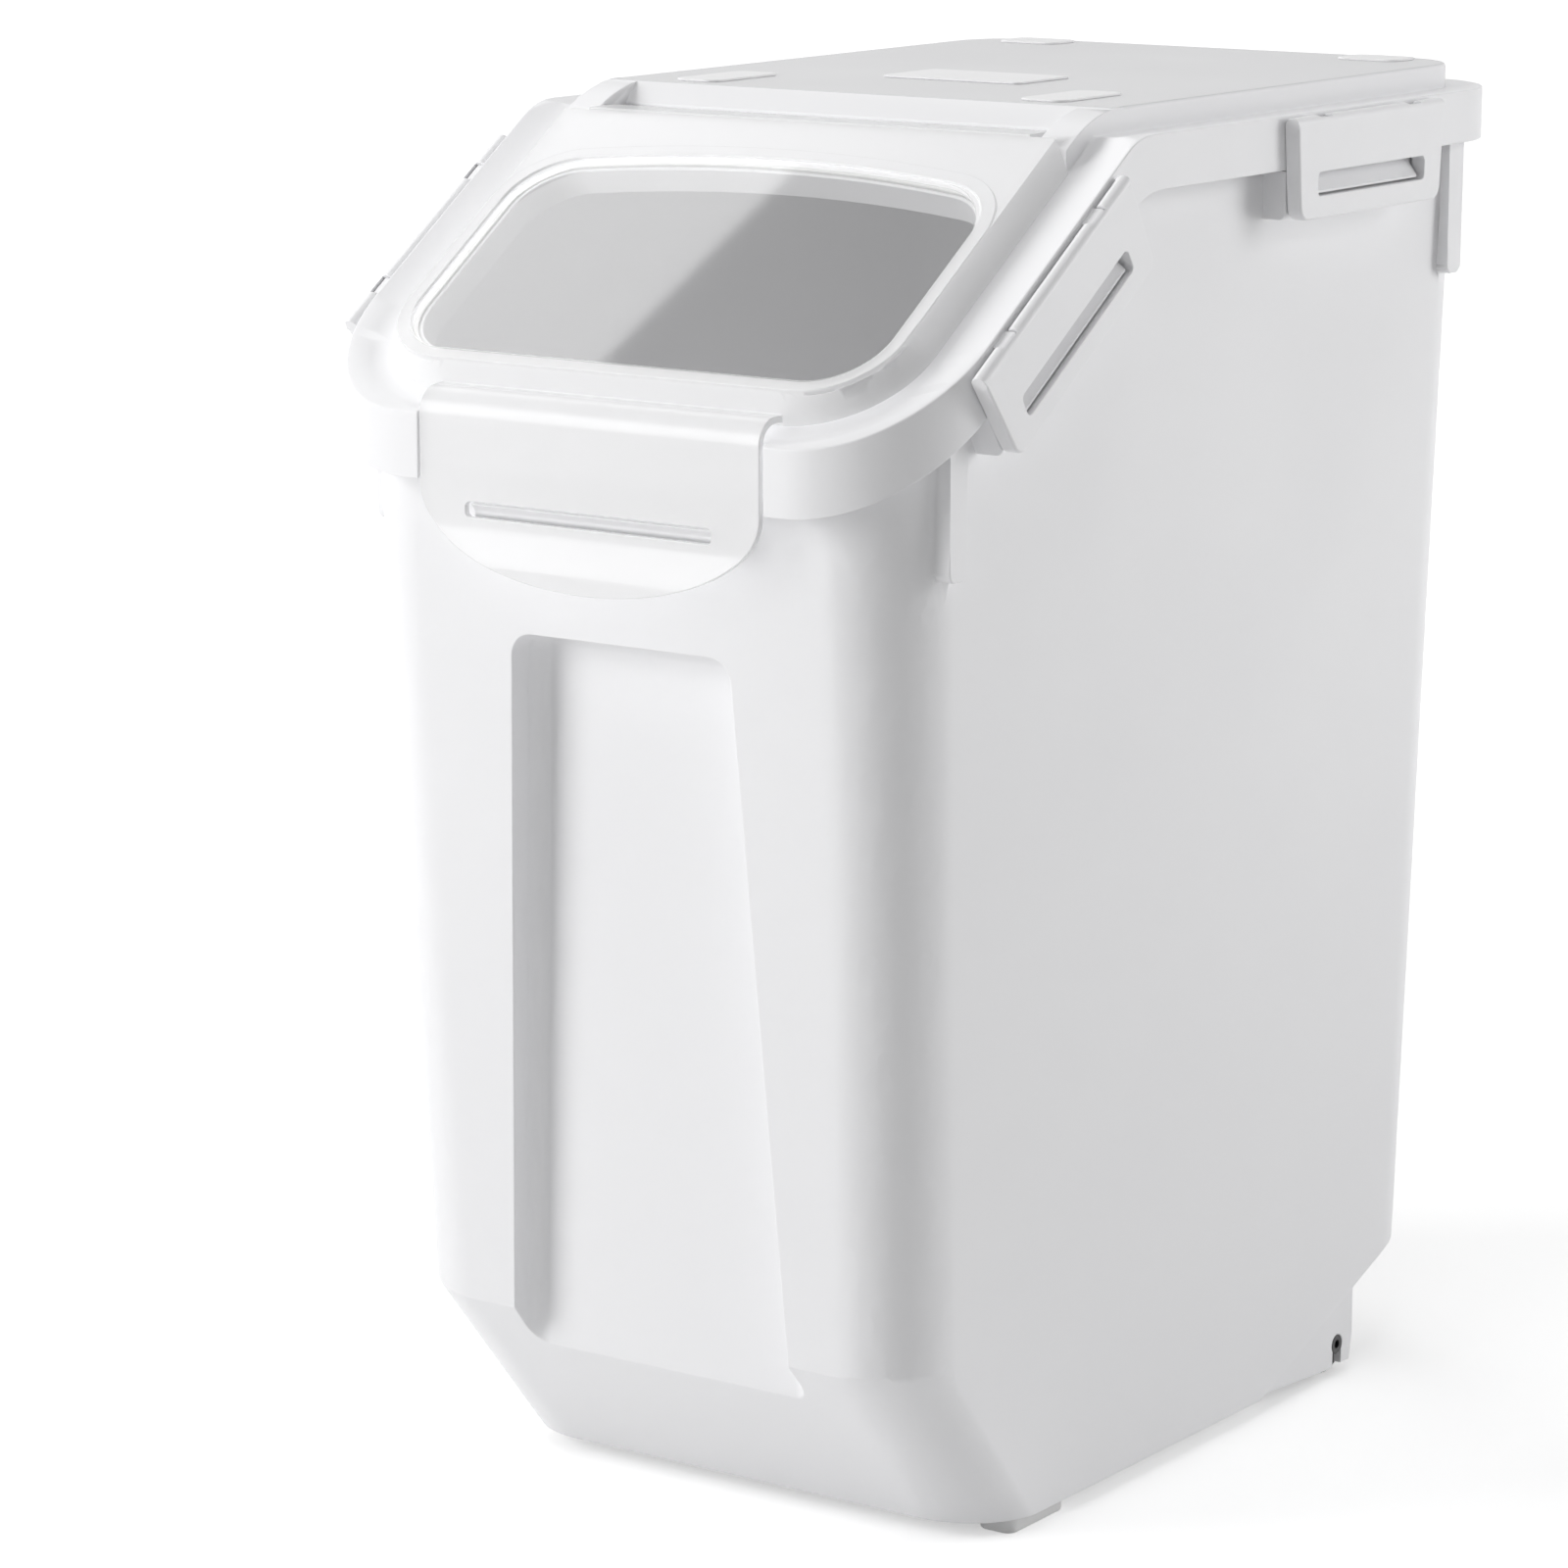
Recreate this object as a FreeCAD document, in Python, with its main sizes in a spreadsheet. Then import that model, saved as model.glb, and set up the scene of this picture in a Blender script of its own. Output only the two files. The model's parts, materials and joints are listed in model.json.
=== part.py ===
import FreeCAD, Part
import math
import os
import re
import Sketcher

# A food storage bin: a tapered tub on two wheels and two feet, closed by a main lid with a bent rim.
# A clear flip lid covers the sloped mouth, and four clip latches hold the main lid down.
# Millimetres, +Z up, -Y to the front, the origin on the floor under the middle of the bin.
# The "slope frame" lies on the rim's front slope: X as before, Y up the slope, Z square to it.
# A "latch frame" has X outwards from the latch's hinge, Y along it and Z up the latch.

SIZES = {
    # Room that every cutter has beyond the piece it cuts
    "reach": 300,
    "overrun": 6,
    # Rim of the main lid
    "rim_half_width": 120,
    "rim_front": 192.3,
    "rim_rear": 194.7,
    "rim_height": 458,
    "rim_front_radius": 45,
    "rim_rear_radius": 40,
    "slope_break": 61.3,
    "slope_angle": 33.7,
    "rim_bend_radius": 28,
    "skirt_depth": 18,
    "skirt_wall": 2.5,
    "deck_wall": 2.4,
    # Gutter between the rim's edge and the raised middle
    "gutter_width": 15.5,
    "gutter_lip": 1,
    "gutter_rear_width": 2.4,
    "gutter_rear_depth": 1.5,
    "gutter_slope_depth": 3.3,
    "gutter_foot_radius": 42,
    "gutter_edge_radius": 53,
    # Top panel and hinge ears
    "panel_rise": 7,
    "panel_inset": 19.3,
    "panel_rear_inset": 3.4,
    "panel_radius": 24,
    "panel_front_radius": 4,
    "panel_setback": 14.9,
    "panel_softness": 1.4,
    "strip_run": 7.1,
    "ear_width": 12.8,
    "ear_front": 12.7,
    "ear_crown_radius": 55,
    "ear_crown_setback": 21.3,
    # Flip lid and the collar below it
    "plateau_rise": 6.7,
    "plateau_inset": 23,
    "plateau_top": 6,
    "plateau_front": 139,
    "plateau_radius": 32,
    "plateau_flare": 5.3,
    "plateau_front_flare": 6.2,
    "lid_wall": 2.2,
    "lid_gap": 0.7,
    "barrel_radius": 5.7,
    "barrel_gap": 0.6,
    "barrel_advance": 0.7,
    "trough_rise": 1.9,
    "ear_gap": 0.6,
    "hinge_pin_radius": 1.5,
    "hinge_pin_depth": 11,
    "pin_running_gap": 0.05,
    "pin_press_gap": 0.01,
    "collar_wall": 6,
    "mouth_top": 34,
    "mouth_radius": 20,
    "mouth_crown_radius": 450,
    "bead_rise": 0.9,
    "bead_width": 5,
    "bead_inset": 1.2,
    "seal_gap": 0.05,
    "flip_seal_width": 3,
    "flip_seal_depth": 1.2,
    # Tongue of the flip lid
    "tongue_half_width": 66.3,
    "tongue_advance": 0.4,
    "tongue_bend_radius": 8.7,
    "tongue_bend_drop": 0.3,
    "tongue_wall": 2.3,
    "tongue_drop": 52.6,
    "tongue_shoulder_drop": 22.6,
    "tongue_lip": 2,
    "tongue_lip_height": 18,
    "tongue_lip_straight": 6,
    "tongue_gap": 1,
    "tongue_relief": 3,
    "tongue_slot_half_width": 48,
    "tongue_slot_drop": 31.9,
    "tongue_slot_height": 5,
    "tongue_slot_radius": 1.7,
    "front_wall_drop": 17.6,
    # Tub
    "rim_overhang": 8.5,
    "front_overhang": 6.6,
    "rear_overhang": 11.6,
    "side_draft": 11.1,
    "front_draft": 27.5,
    "rear_draft": 11.1,
    "base_radius": 27,
    "tub_radius": 30,
    "section_drop": 3,
    "tub_wall": 2.5,
    "foot_height": 5.3,
    "toe_start": 109.4,
    "toe_angle": 50.1,
    "heel_start": 65,
    "heel_angle": 22,
    "toe_radius": 30,
    "foot_side_gap": 0.4,
    "heel_radius": 5,
    "flange_gap": 0.6,
    "flange_front_gap": 6.3,
    "flange_height": 3,
    "lid_seal_height": 2,
    "lid_seal_width": 9,
    # Finger recess in the front of the tub
    "recess_drop": 71.1,
    "recess_half_width": 42.7,
    "recess_spread_angle": 3.2,
    "recess_floor": 162.2,
    "recess_floor_angle": 2.8,
    "recess_radius": 8,
    "recess_corner_radius": 6,
    # Ribs and catches on the tub
    "rib_width": 10,
    "rib_height": 4.5,
    "rib_radius": 3.3,
    "rib_front": 152.4,
    "rib_front_drop": 43,
    "rib_rear": 157.4,
    "rib_rear_drop": 64,
    "front_catch_half_width": 47,
    "front_catch_drop": 46.6,
    "front_catch_top_drop": 21.6,
    "front_catch_hook_drop": 27.8,
    "front_catch_reach": 1.1,
    # Side latches
    "latch_length": 99,
    "latch_height": 34,
    "latch_thickness": 5.2,
    "latch_taper": 2.5,
    "latch_gap": 0.3,
    "latch_drop": 3.2,
    "latch_corner_radius": 5,
    "latch_softness": 1,
    "latch_rear_place": 78.2,
    "latch_slope_place": 68,
    "latch_slot_length": 72,
    "latch_slot_height": 8,
    "latch_slot_drop": 16,
    "latch_slot_radius": 2,
    "latch_pin_radius": 1,
    "latch_pin_length": 88,
    "lug_place": 30,
    "lug_width": 8,
    "lug_radius": 1.5,
    "lug_gap": 0.3,
    "catch_gap": 0.5,
    "catch_length": 94,
    "catch_hook_length": 68,
    "catch_hook_gap": 0.8,
    "catch_hook_reach": 4,
    "catch_softness": 3,
    # Wheels and feet
    "axle_place": 118.2,
    "wheel_radius": 11.3,
    "wheel_width": 15,
    "wheel_inset": 4.9,
    "wheel_softness": 1.5,
    "wheel_side_gap": 0.6,
    "wheel_web": 5,
    "wheel_rim": 2.6,
    "trunnion_radius": 3.5,
    "trunnion_bore": 1.5,
    "trunnion_gap": 0.06,
    "hub_radius": 5.4,
    "plate_wall": 3,
    "plate_rear": 128.7,
    "plate_bottom": 3.6,
    "plate_jaw": 5.6,
    "seat_mouth_share": 0.8,
    "foot_length": 33.5,
    "foot_width": 14,
    "foot_place": 76.5,
    "foot_inset": 3.5,
    "foot_radius": 4,
    # Pads and plate on the top panel
    "front_pad_inset": 31.7,
    "front_pad_width": 18,
    "front_pad_length": 39,
    "front_pad_middle": 21.3,
    "rear_pad_inset": 29.7,
    "rear_pad_width": 25,
    "rear_pad_length": 18,
    "rear_pad_middle": 176.7,
    "pad_rise": 0.8,
    "pad_radius": 5,
    "plate_half_width": 28,
    "plate_middle": 27.2,
    "plate_depth": 33,
    "plate_rise": 0.8,
    "plate_radius": 3,
}

# Two places closer than this are one place, and an edge this much along an axis runs along it
NEAR = 1e-3
ALONG_SHARE = 0.9

doc = FreeCAD.newDocument("food_storage_bin")
sheet = doc.addObject("Spreadsheet::Sheet", "Sizes")
for row, (size_name, size) in enumerate(SIZES.items(), start=1):
    sheet.set(f"A{row}", size_name)
    sheet.set(f"B{row}", str(size))
    sheet.setAlias(f"B{row}", size_name)
doc.recompute()


def link(text):
    """An expression in size names, written out with the sheet's name."""
    return re.sub(r"[a-z_]+", lambda word: f"Sizes.{word[0]}" if word[0] in SIZES else word[0], text)


def measure(text):
    return float(sheet.evalExpression(link(text)))


def bind(target, name, text):
    target.setExpression(name, link(text))


def at(value, text):
    return abs(value - measure(text)) < NEAR


def runs(edge, axis):
    return abs(getattr(edge.tangentAt(edge.FirstParameter), axis)) > ALONG_SHARE


# Sketches

def new_sketch(body, plane, height):
    sketch = body.newObject("Sketcher::SketchObject", f"{body.Name}_sketch")
    support = next(item for item in body.Origin.OriginFeatures if item.Role == plane)
    sketch.AttachmentSupport = (support, "")
    sketch.MapMode = "FlatFace"
    bind(sketch, "AttachmentOffset.Base.z", height)
    return sketch


def hold(sketch, kind, *places, text):
    """A dimension of the sketch, bound to an expression."""
    index = sketch.addConstraint(Sketcher.Constraint(kind, *places, measure(text)))
    bind(sketch, f"Constraints[{index}]", text)


def add_arc(sketch, centre, radius, start, end):
    """An arc of the sketch, from one angle to another in degrees."""
    circle = Part.Circle(FreeCAD.Vector(*centre, 0), FreeCAD.Vector(0, 0, 1), radius)
    sketch.addGeometry(Part.ArcOfCircle(circle, math.radians(start), math.radians(end)))


def add_line(sketch, start, end):
    sketch.addGeometry(Part.LineSegment(FreeCAD.Vector(*start, 0), FreeCAD.Vector(*end, 0)))


def polygon(body, plane, corners, height="0"):
    """A closed outline through corners, each a pair of expressions."""
    sketch = new_sketch(body, plane, height)
    points = [(measure(across), measure(up)) for across, up in corners]
    count = len(points)
    for index in range(count):
        add_line(sketch, points[index], points[(index + 1) % count])
    for index in range(count):
        sketch.addConstraint(Sketcher.Constraint("Coincident", index, 2, (index + 1) % count, 1))
    for index, (across, up) in enumerate(corners):
        hold(sketch, "DistanceX", -1, 1, index, 1, text=across)
        hold(sketch, "DistanceY", -1, 1, index, 1, text=up)
    return sketch


def rounded(body, plane, across, up, radii, height="0"):
    """A rectangle with round corners: low and high ends both ways, then the low and high radii."""
    sketch = new_sketch(body, plane, height)
    left, right = [measure(text) for text in across]
    low, high = [measure(text) for text in up]
    low_radius, high_radius = [measure(text) for text in radii]
    middle_low, middle_high = low + low_radius, high - high_radius
    ends = [
        ((left + low_radius, low), (right - low_radius, low)),
        ((right, middle_low), (right, middle_high)),
        ((right - high_radius, high), (left + high_radius, high)),
        ((left, middle_high), (left, middle_low)),
    ]
    for start, end in ends:
        add_line(sketch, start, end)
    centres = [
        (right - low_radius, middle_low, low_radius, 270),
        (right - high_radius, middle_high, high_radius, 0),
        (left + high_radius, middle_high, high_radius, 90),
        (left + low_radius, middle_low, low_radius, 180),
    ]
    for centre_x, centre_y, radius, turn in centres:
        add_arc(sketch, (centre_x, centre_y), radius, turn, turn + 90)
    for side in range(4):
        sketch.addConstraint(Sketcher.Constraint("Tangent", side, 2, side + 4, 1))
        sketch.addConstraint(Sketcher.Constraint("Tangent", side + 4, 2, (side + 1) % 4, 1))
    for side in (0, 2):
        sketch.addConstraint(Sketcher.Constraint("Horizontal", side))
        sketch.addConstraint(Sketcher.Constraint("Vertical", side + 1))
    hold(sketch, "DistanceX", -1, 1, 3, 1, text=across[0])
    hold(sketch, "DistanceX", -1, 1, 1, 1, text=across[1])
    hold(sketch, "DistanceY", -1, 1, 0, 1, text=up[0])
    hold(sketch, "DistanceY", -1, 1, 2, 1, text=up[1])
    for arc, text in zip((4, 5, 6, 7), (radii[0], radii[1], radii[1], radii[0])):
        hold(sketch, "Radius", arc, text=text)
    return sketch


def crowned(body, plane, half, up, radius, crown, height="0"):
    """A rectangle with round corners and a bowed top edge: half width, low and high ends, both radii."""
    sketch = new_sketch(body, plane, height)
    side, low, high = measure(half), measure(up[0]), measure(up[1])
    corner, bow = measure(radius), measure(crown)
    lean = math.degrees(math.acos((side - corner) / (bow - corner)))
    corner_low = low + corner
    corner_high = high - bow + math.sqrt((bow - corner) ** 2 - (side - corner) ** 2)
    add_line(sketch, (corner - side, low), (side - corner, low))
    add_arc(sketch, (side - corner, corner_low), corner, 270, 360)
    add_line(sketch, (side, corner_low), (side, corner_high))
    add_arc(sketch, (side - corner, corner_high), corner, 0, lean)
    add_arc(sketch, (0, high - bow), bow, lean, 180 - lean)
    add_arc(sketch, (corner - side, corner_high), corner, 180 - lean, 180)
    add_line(sketch, (-side, corner_high), (-side, corner_low))
    add_arc(sketch, (corner - side, corner_low), corner, 180, 270)
    for index in range(8):
        sketch.addConstraint(Sketcher.Constraint("Tangent", index, 2, (index + 1) % 8, 1))
    sketch.addConstraint(Sketcher.Constraint("Horizontal", 0))
    sketch.addConstraint(Sketcher.Constraint("Vertical", 2))
    sketch.addConstraint(Sketcher.Constraint("Vertical", 6))
    sketch.addConstraint(Sketcher.Constraint("PointOnObject", 4, 3, -2))
    hold(sketch, "DistanceX", -1, 1, 2, 1, text=half)
    hold(sketch, "DistanceX", -1, 1, 6, 1, text=f"-({half})")
    hold(sketch, "DistanceY", -1, 1, 0, 1, text=up[0])
    hold(sketch, "DistanceY", -1, 1, 4, 3, text=f"{up[1]} - ({crown})")
    hold(sketch, "Radius", 4, text=crown)
    for arc in (1, 3, 5, 7):
        hold(sketch, "Radius", arc, text=radius)
    return sketch


def disc(body, plane, across, up, radius, height="0"):
    sketch = new_sketch(body, plane, height)
    centre = FreeCAD.Vector(measure(across), measure(up), 0)
    sketch.addGeometry(Part.Circle(centre, FreeCAD.Vector(0, 0, 1), measure(radius)))
    hold(sketch, "DistanceX", -1, 1, 0, 3, text=across)
    hold(sketch, "DistanceY", -1, 1, 0, 3, text=up)
    hold(sketch, "Radius", 0, text=radius)
    return sketch


# Features of a body

def new_body(name):
    return doc.addObject("PartDesign::Body", name)


def extrude(body, kind, sketch, length, both_ways=True):
    feature = body.newObject(f"PartDesign::{kind}", f"{body.Name}_{kind}")
    feature.Profile = sketch
    feature.SideType = "Symmetric" if both_ways else "One side"
    bind(feature, "Length", length)
    sketch.Visibility = False
    return feature


def soften(body, radius, chosen):
    """Rounds the edges of the body's last feature that the test chooses."""
    doc.recompute()
    base = body.Tip
    names = [f"Edge{number}" for number, edge in enumerate(base.Shape.Edges, start=1) if chosen(edge)]
    fillet = body.newObject("PartDesign::Fillet", f"{body.Name}_fillet")
    fillet.Base = (base, names)
    bind(fillet, "Radius", radius)
    return fillet


def slab(name, across, along, radii, low, high):
    """A plate with a rounded plan outline, from one height to another."""
    body = new_body(name)
    sketch = rounded(body, "XY_Plane", across, along, radii, low)
    extrude(body, "Pad", sketch, f"{high} - ({low})", both_ways=False)
    return body


def taper(name, sections):
    """A form with straight drafted walls through rounded plan outlines."""
    body = new_body(name)
    sketches = [rounded(body, "XY_Plane", *section) for section in sections]
    loft = body.newObject("PartDesign::AdditiveLoft", f"{name}_loft")
    loft.Profile = sketches[0]
    loft.Sections = sketches[1:]
    loft.Ruled = True
    return body


def side_profile(name, corners, half_width):
    """A side view outline, across the whole width."""
    body = new_body(name)
    extrude(body, "Pad", polygon(body, "YZ_Plane", corners), f"2 * ({half_width})")
    return body


# Part solids and what joins them

def box(name, across, along, up):
    item = doc.addObject("Part::Box", name)
    for side, axis, (low, high) in zip(("Length", "Width", "Height"), "xyz", (across, along, up)):
        bind(item, side, f"{high} - ({low})")
        bind(item, f"Placement.Base.{axis}", low)
    return item


def rod(name, radius, across, along, up):
    """A cylinder along X."""
    item = doc.addObject("Part::Cylinder", name)
    item.Placement.Rotation = FreeCAD.Rotation(FreeCAD.Vector(0, 1, 0), 90)
    bind(item, "Radius", radius)
    bind(item, "Height", f"{across[1]} - ({across[0]})")
    for axis, text in zip("xyz", (across[0], along, up)):
        bind(item, f"Placement.Base.{axis}", text)
    return item


def fuse(name, *pieces):
    joined = doc.addObject("Part::MultiFuse", name)
    joined.Shapes = list(pieces)
    joined.Refine = True
    return joined


def common(name, first, second):
    shared = doc.addObject("Part::Common", name)
    shared.Base = first
    shared.Tool = second
    return shared


def cut(name, base, *tools):
    tool = tools[0] if len(tools) == 1 else fuse(f"{name}_tools", *tools)
    remainder = doc.addObject("Part::Cut", name)
    remainder.Base = base
    remainder.Tool = tool
    remainder.Refine = True
    return remainder


def mirrored(name, source):
    twin = doc.addObject("Part::Mirroring", name)
    twin.Source = source
    twin.Normal = FreeCAD.Vector(1, 0, 0)
    return twin


def pair(name, source):
    """The piece and its twin on the left."""
    return fuse(f"{name}_pair", source, mirrored(f"{name}_twin", source))


def symmetric(half):
    return f"-({half})", half


# Places on the bent rim

def bend(rear, slope):
    """Y of the bend between a level surface and a sloped one, each offset from the rim's edge."""
    return f"-slope_break + ({rear} - ({slope}) / cos(slope_angle)) / tan(slope_angle)"


def bent_line(rear, slope):
    """Corners of a bent surface from the rear to the front, past the rim both ways."""
    front = f"rim_height + ({slope}) / cos(slope_angle) - tan(slope_angle) * (reach - slope_break)"
    return [("reach", f"rim_height + {rear}"), (bend(rear, slope), f"rim_height + {rear}"), ("-reach", front)]


def bent_band(name, top, bottom):
    """All that lies between two bent surfaces."""
    return side_profile(name, bent_line(*top) + bent_line(*bottom)[::-1], "reach")


def below(name, rear, slope):
    """All that lies under a bent surface."""
    return bent_band(name, (rear, slope), ("-2 * reach", "-2 * reach"))


def on_slope(item):
    """Sets a piece drawn in the slope frame on the front slope of the rim."""
    item.Placement.Rotation = FreeCAD.Rotation(FreeCAD.Vector(1, 0, 0), 1)
    bind(item, "Placement.Rotation.Angle", "slope_angle")
    bind(item, "Placement.Base.y", "-slope_break")
    bind(item, "Placement.Base.z", "rim_height")
    return item


HINGE_ACROSS = "rim_half_width + latch_gap + latch_thickness / 2"


def on_latch(item, place):
    """Sets a piece drawn in the latch frame at the hinge of the rear or the slope latch."""
    bind(item, "Placement.Base.x", HINGE_ACROSS)
    if place == "rear":
        bind(item, "Placement.Base.y", "latch_rear_place")
        bind(item, "Placement.Base.z", "rim_height - latch_drop")
        return item
    item.Placement.Rotation = FreeCAD.Rotation(FreeCAD.Vector(1, 0, 0), 1)
    bind(item, "Placement.Rotation.Angle", "slope_angle")
    along = "-slope_break - latch_slope_place * cos(slope_angle) + latch_drop * sin(slope_angle)"
    up = "rim_height - latch_slope_place * sin(slope_angle) - latch_drop * cos(slope_angle)"
    bind(item, "Placement.Base.y", along)
    bind(item, "Placement.Base.z", up)
    return item


PLACES = ("rear", "slope")

# Heights and offsets that several pieces share

PANEL_TOP = "rim_height + panel_rise"
RIM_FOOT = "rim_height - tan(slope_angle) * (rim_front - slope_break)"
DECK_REAR = "-(gutter_rear_depth + deck_wall)"
DECK_SLOPE = "-(gutter_slope_depth + deck_wall)"
SEAL_REAR = f"{DECK_REAR} - lid_seal_height"
SEAL_SLOPE = f"{DECK_SLOPE} - lid_seal_height"
FLANGE_REAR = f"{SEAL_REAR} - flange_height"
FLANGE_SLOPE = f"{SEAL_SLOPE} - flange_height"
PANEL_HALF = "rim_half_width - panel_inset"
STRIP_FOOT = "-slope_break + panel_setback - strip_run"
HINGE_ALONG = "-slope_break - barrel_advance"
HINGE_UP = "rim_height - barrel_radius"
EAR_INSIDE = f"{PANEL_HALF} - ear_width"
TUB_HALF = "rim_half_width - rim_overhang"
BASE_HALF = f"{TUB_HALF} - side_draft"
WHEEL_OUTSIDE = f"{BASE_HALF} - wheel_inset"
TUB_FRONT = "rim_front - front_overhang"
TUB_REAR = "rim_rear - rear_overhang"
SEAL_OUTSIDE = "rim_half_width - skirt_wall - flange_gap"
TONGUE_FACE = "-(rim_front + tongue_advance)"
TONGUE_BACK = f"{TONGUE_FACE} + tongue_wall"
TONGUE_RECESS = "-(rim_front - tongue_relief)"
TONGUE_BEND = f"{RIM_FOOT} - tongue_bend_drop"
TONGUE_BOTTOM = f"{RIM_FOOT} - tongue_drop"
TONGUE_SHOULDER = f"{RIM_FOOT} - tongue_shoulder_drop"
RECESS_TOP = f"{RIM_FOOT} - recess_drop"
SKIRT_RADII = ("rim_front_radius - skirt_wall", "rim_rear_radius - skirt_wall")


def seal_outline(name, inset):
    """A block of the main seal's outline, through the whole rim, set in by a given distance."""
    front = f"-(rim_front - flange_front_gap - {inset})"
    rear = f"rim_rear - skirt_wall - flange_gap - {inset}"
    radii = [f"{radius} - {inset}" for radius in SKIRT_RADII]
    half = f"{SEAL_OUTSIDE} - {inset}"
    return slab(name, symmetric(half), (front, rear), radii, "rim_height / 2", "rim_height")


# Tub

def tub_form(name, inset):
    """The tub's drafted walls, set in by a wall thickness where one is given."""
    half_base = f"{BASE_HALF} - {inset}"
    front_base = f"{TUB_FRONT} - front_draft - {inset}"
    rear_base = f"{TUB_REAR} - rear_draft - {inset}"
    base_radius = f"base_radius - {inset}"
    half, front, rear = f"{TUB_HALF} - {inset}", f"{TUB_FRONT} - {inset}", f"{TUB_REAR} - {inset}"
    radius = f"tub_radius - {inset}"
    return taper(name, [
        (symmetric(half_base), (f"-({front_base})", rear_base), (base_radius, base_radius), "foot_height"),
        (symmetric(half), (f"-({front})", rear), (radius, radius), "rim_height - section_drop"),
    ])


def foot_form(name, inset):
    """The tub's toe and heel slopes, with round corners, between side walls just outside the tub's own."""
    top = "rim_height - section_drop"
    rise = f"({top} - foot_height)"
    front = f"toe_start - {inset} / sin(toe_angle)"
    rear = f"heel_start - {inset} / sin(heel_angle)"
    high_front, high_rear = f"-({front} + {rise} / tan(toe_angle))", f"{rear} + {rise} / tan(heel_angle)"
    radii = (f"toe_radius - {inset}", "heel_radius")
    return taper(name, [
        (symmetric(f"{BASE_HALF} + foot_side_gap - {inset}"), (f"-({front})", rear), radii, "foot_height"),
        (symmetric(f"{TUB_HALF} + foot_side_gap - {inset}"), (high_front, high_rear), radii, top),
    ])


def on_floor(edge, floor, height):
    """Whether an edge lies on the recess's leaning floor, which is at a given depth at a given height."""
    lean = math.tan(math.radians(measure("recess_floor_angle")))
    ends = [vertex.Point for vertex in edge.Vertexes]
    return all(abs(point.y - measure(floor) - (measure(height) - point.z) * lean) < NEAR for point in ends)


def recess_form(name, grow):
    """The finger recess: wider towards its foot, with a leaning floor. Its copy inside is a wall larger."""
    body = new_body(name)
    top = f"{RECESS_TOP} + {grow}"
    half = f"recess_half_width + {grow}"
    foot = f"recess_half_width + {grow} + ({RECESS_TOP}) * tan(recess_spread_angle)"
    corners = [(f"-({foot})", "-overrun"), (foot, "-overrun"), (half, top), (f"-({half})", top)]
    extrude(body, "Pad", polygon(body, "XZ_Plane", corners), "reach", both_ways=False)
    soften(body, f"recess_radius + {grow}", lambda edge: at(edge.CenterOfMass.z, top) and runs(edge, "y"))
    floor = f"-recess_floor + {grow}"
    foot_floor = f"{floor} + ({top} + 2 * overrun) * tan(recess_floor_angle)"
    behind = [("overrun", "-overrun"), (foot_floor, "-overrun"), (floor, f"{top} + overrun")]
    lean = polygon(body, "YZ_Plane", behind + [("overrun", f"{top} + overrun")])
    extrude(body, "Pocket", lean, "2 * reach")
    soften(body, f"recess_corner_radius + {grow}", lambda edge: on_floor(edge, floor, f"{top} + overrun")
           and edge.BoundBox.ZMax > 0)
    return body


def rib(name, middle, bottom):
    """A side rib from its rounded foot up to the lid."""
    body = new_body(name)
    low, high = f"{middle} - rib_width / 2", f"{middle} + rib_width / 2"
    outside = f"{TUB_HALF} - side_draft * (rim_height - {bottom}) / rim_height + rib_height"
    sketch = rounded(body, "YZ_Plane", (low, high), (bottom, "rim_height"),
                     ("rib_radius", "rib_radius"), "rim_half_width / 2")
    extrude(body, "Pad", sketch, f"{outside} - rim_half_width / 2", both_ways=False)
    return body


def catch_block(place):
    """The block behind a side latch, with the slanted hook that its slot snaps over."""
    body = new_body(f"catch_{place}")
    face = "-(latch_gap + latch_thickness / 2 + catch_gap)"
    inside = "-rim_half_width / 2"
    low = "-(latch_height - latch_thickness / 2)"
    high = "-(skirt_depth - latch_drop + catch_gap)"
    corners = [(inside, low), (face, low), (face, high), (inside, high)]
    extrude(body, "Pad", polygon(body, "XZ_Plane", corners), "catch_length")
    soften(body, "catch_softness", lambda edge: at(edge.CenterOfMass.x, face)
           and at(edge.CenterOfMass.z, low))
    hook_low = "-(latch_slot_drop + latch_slot_height) + catch_hook_gap"
    hook_high = "-(latch_slot_drop + catch_hook_gap)"
    tip = f"{face} + catch_hook_reach"
    tip_up = f"{hook_low} + catch_hook_gap"
    hook = [(inside, hook_low), (face, hook_low), (tip, hook_low), (tip, tip_up), (face, hook_high)]
    extrude(body, "Pad", polygon(body, "XZ_Plane", hook + [(inside, hook_high)]), "catch_hook_length")
    return on_latch(body, place)


def front_catch():
    """The ridge behind the tongue, with its hook in the tongue's slot."""
    face = f"{TONGUE_BACK} + tongue_gap"
    tip = f"{TONGUE_BACK} - front_catch_reach"
    inside = f"-({TUB_FRONT} - front_draft)"
    slant = "front_catch_reach + tongue_gap"
    hook = f"{RIM_FOOT} - front_catch_hook_drop"
    corners = [
        (inside, f"{RIM_FOOT} - front_catch_drop"),
        (face, f"{hook} - 2 * ({slant})"),
        (face, f"{hook} - ({slant})"),
        (tip, hook),
        (face, hook),
        (face, f"{hook} + tongue_gap"),
        (inside, f"{RIM_FOOT} - front_catch_top_drop"),
    ]
    return side_profile("front_catch", corners, "front_catch_half_width")


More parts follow.
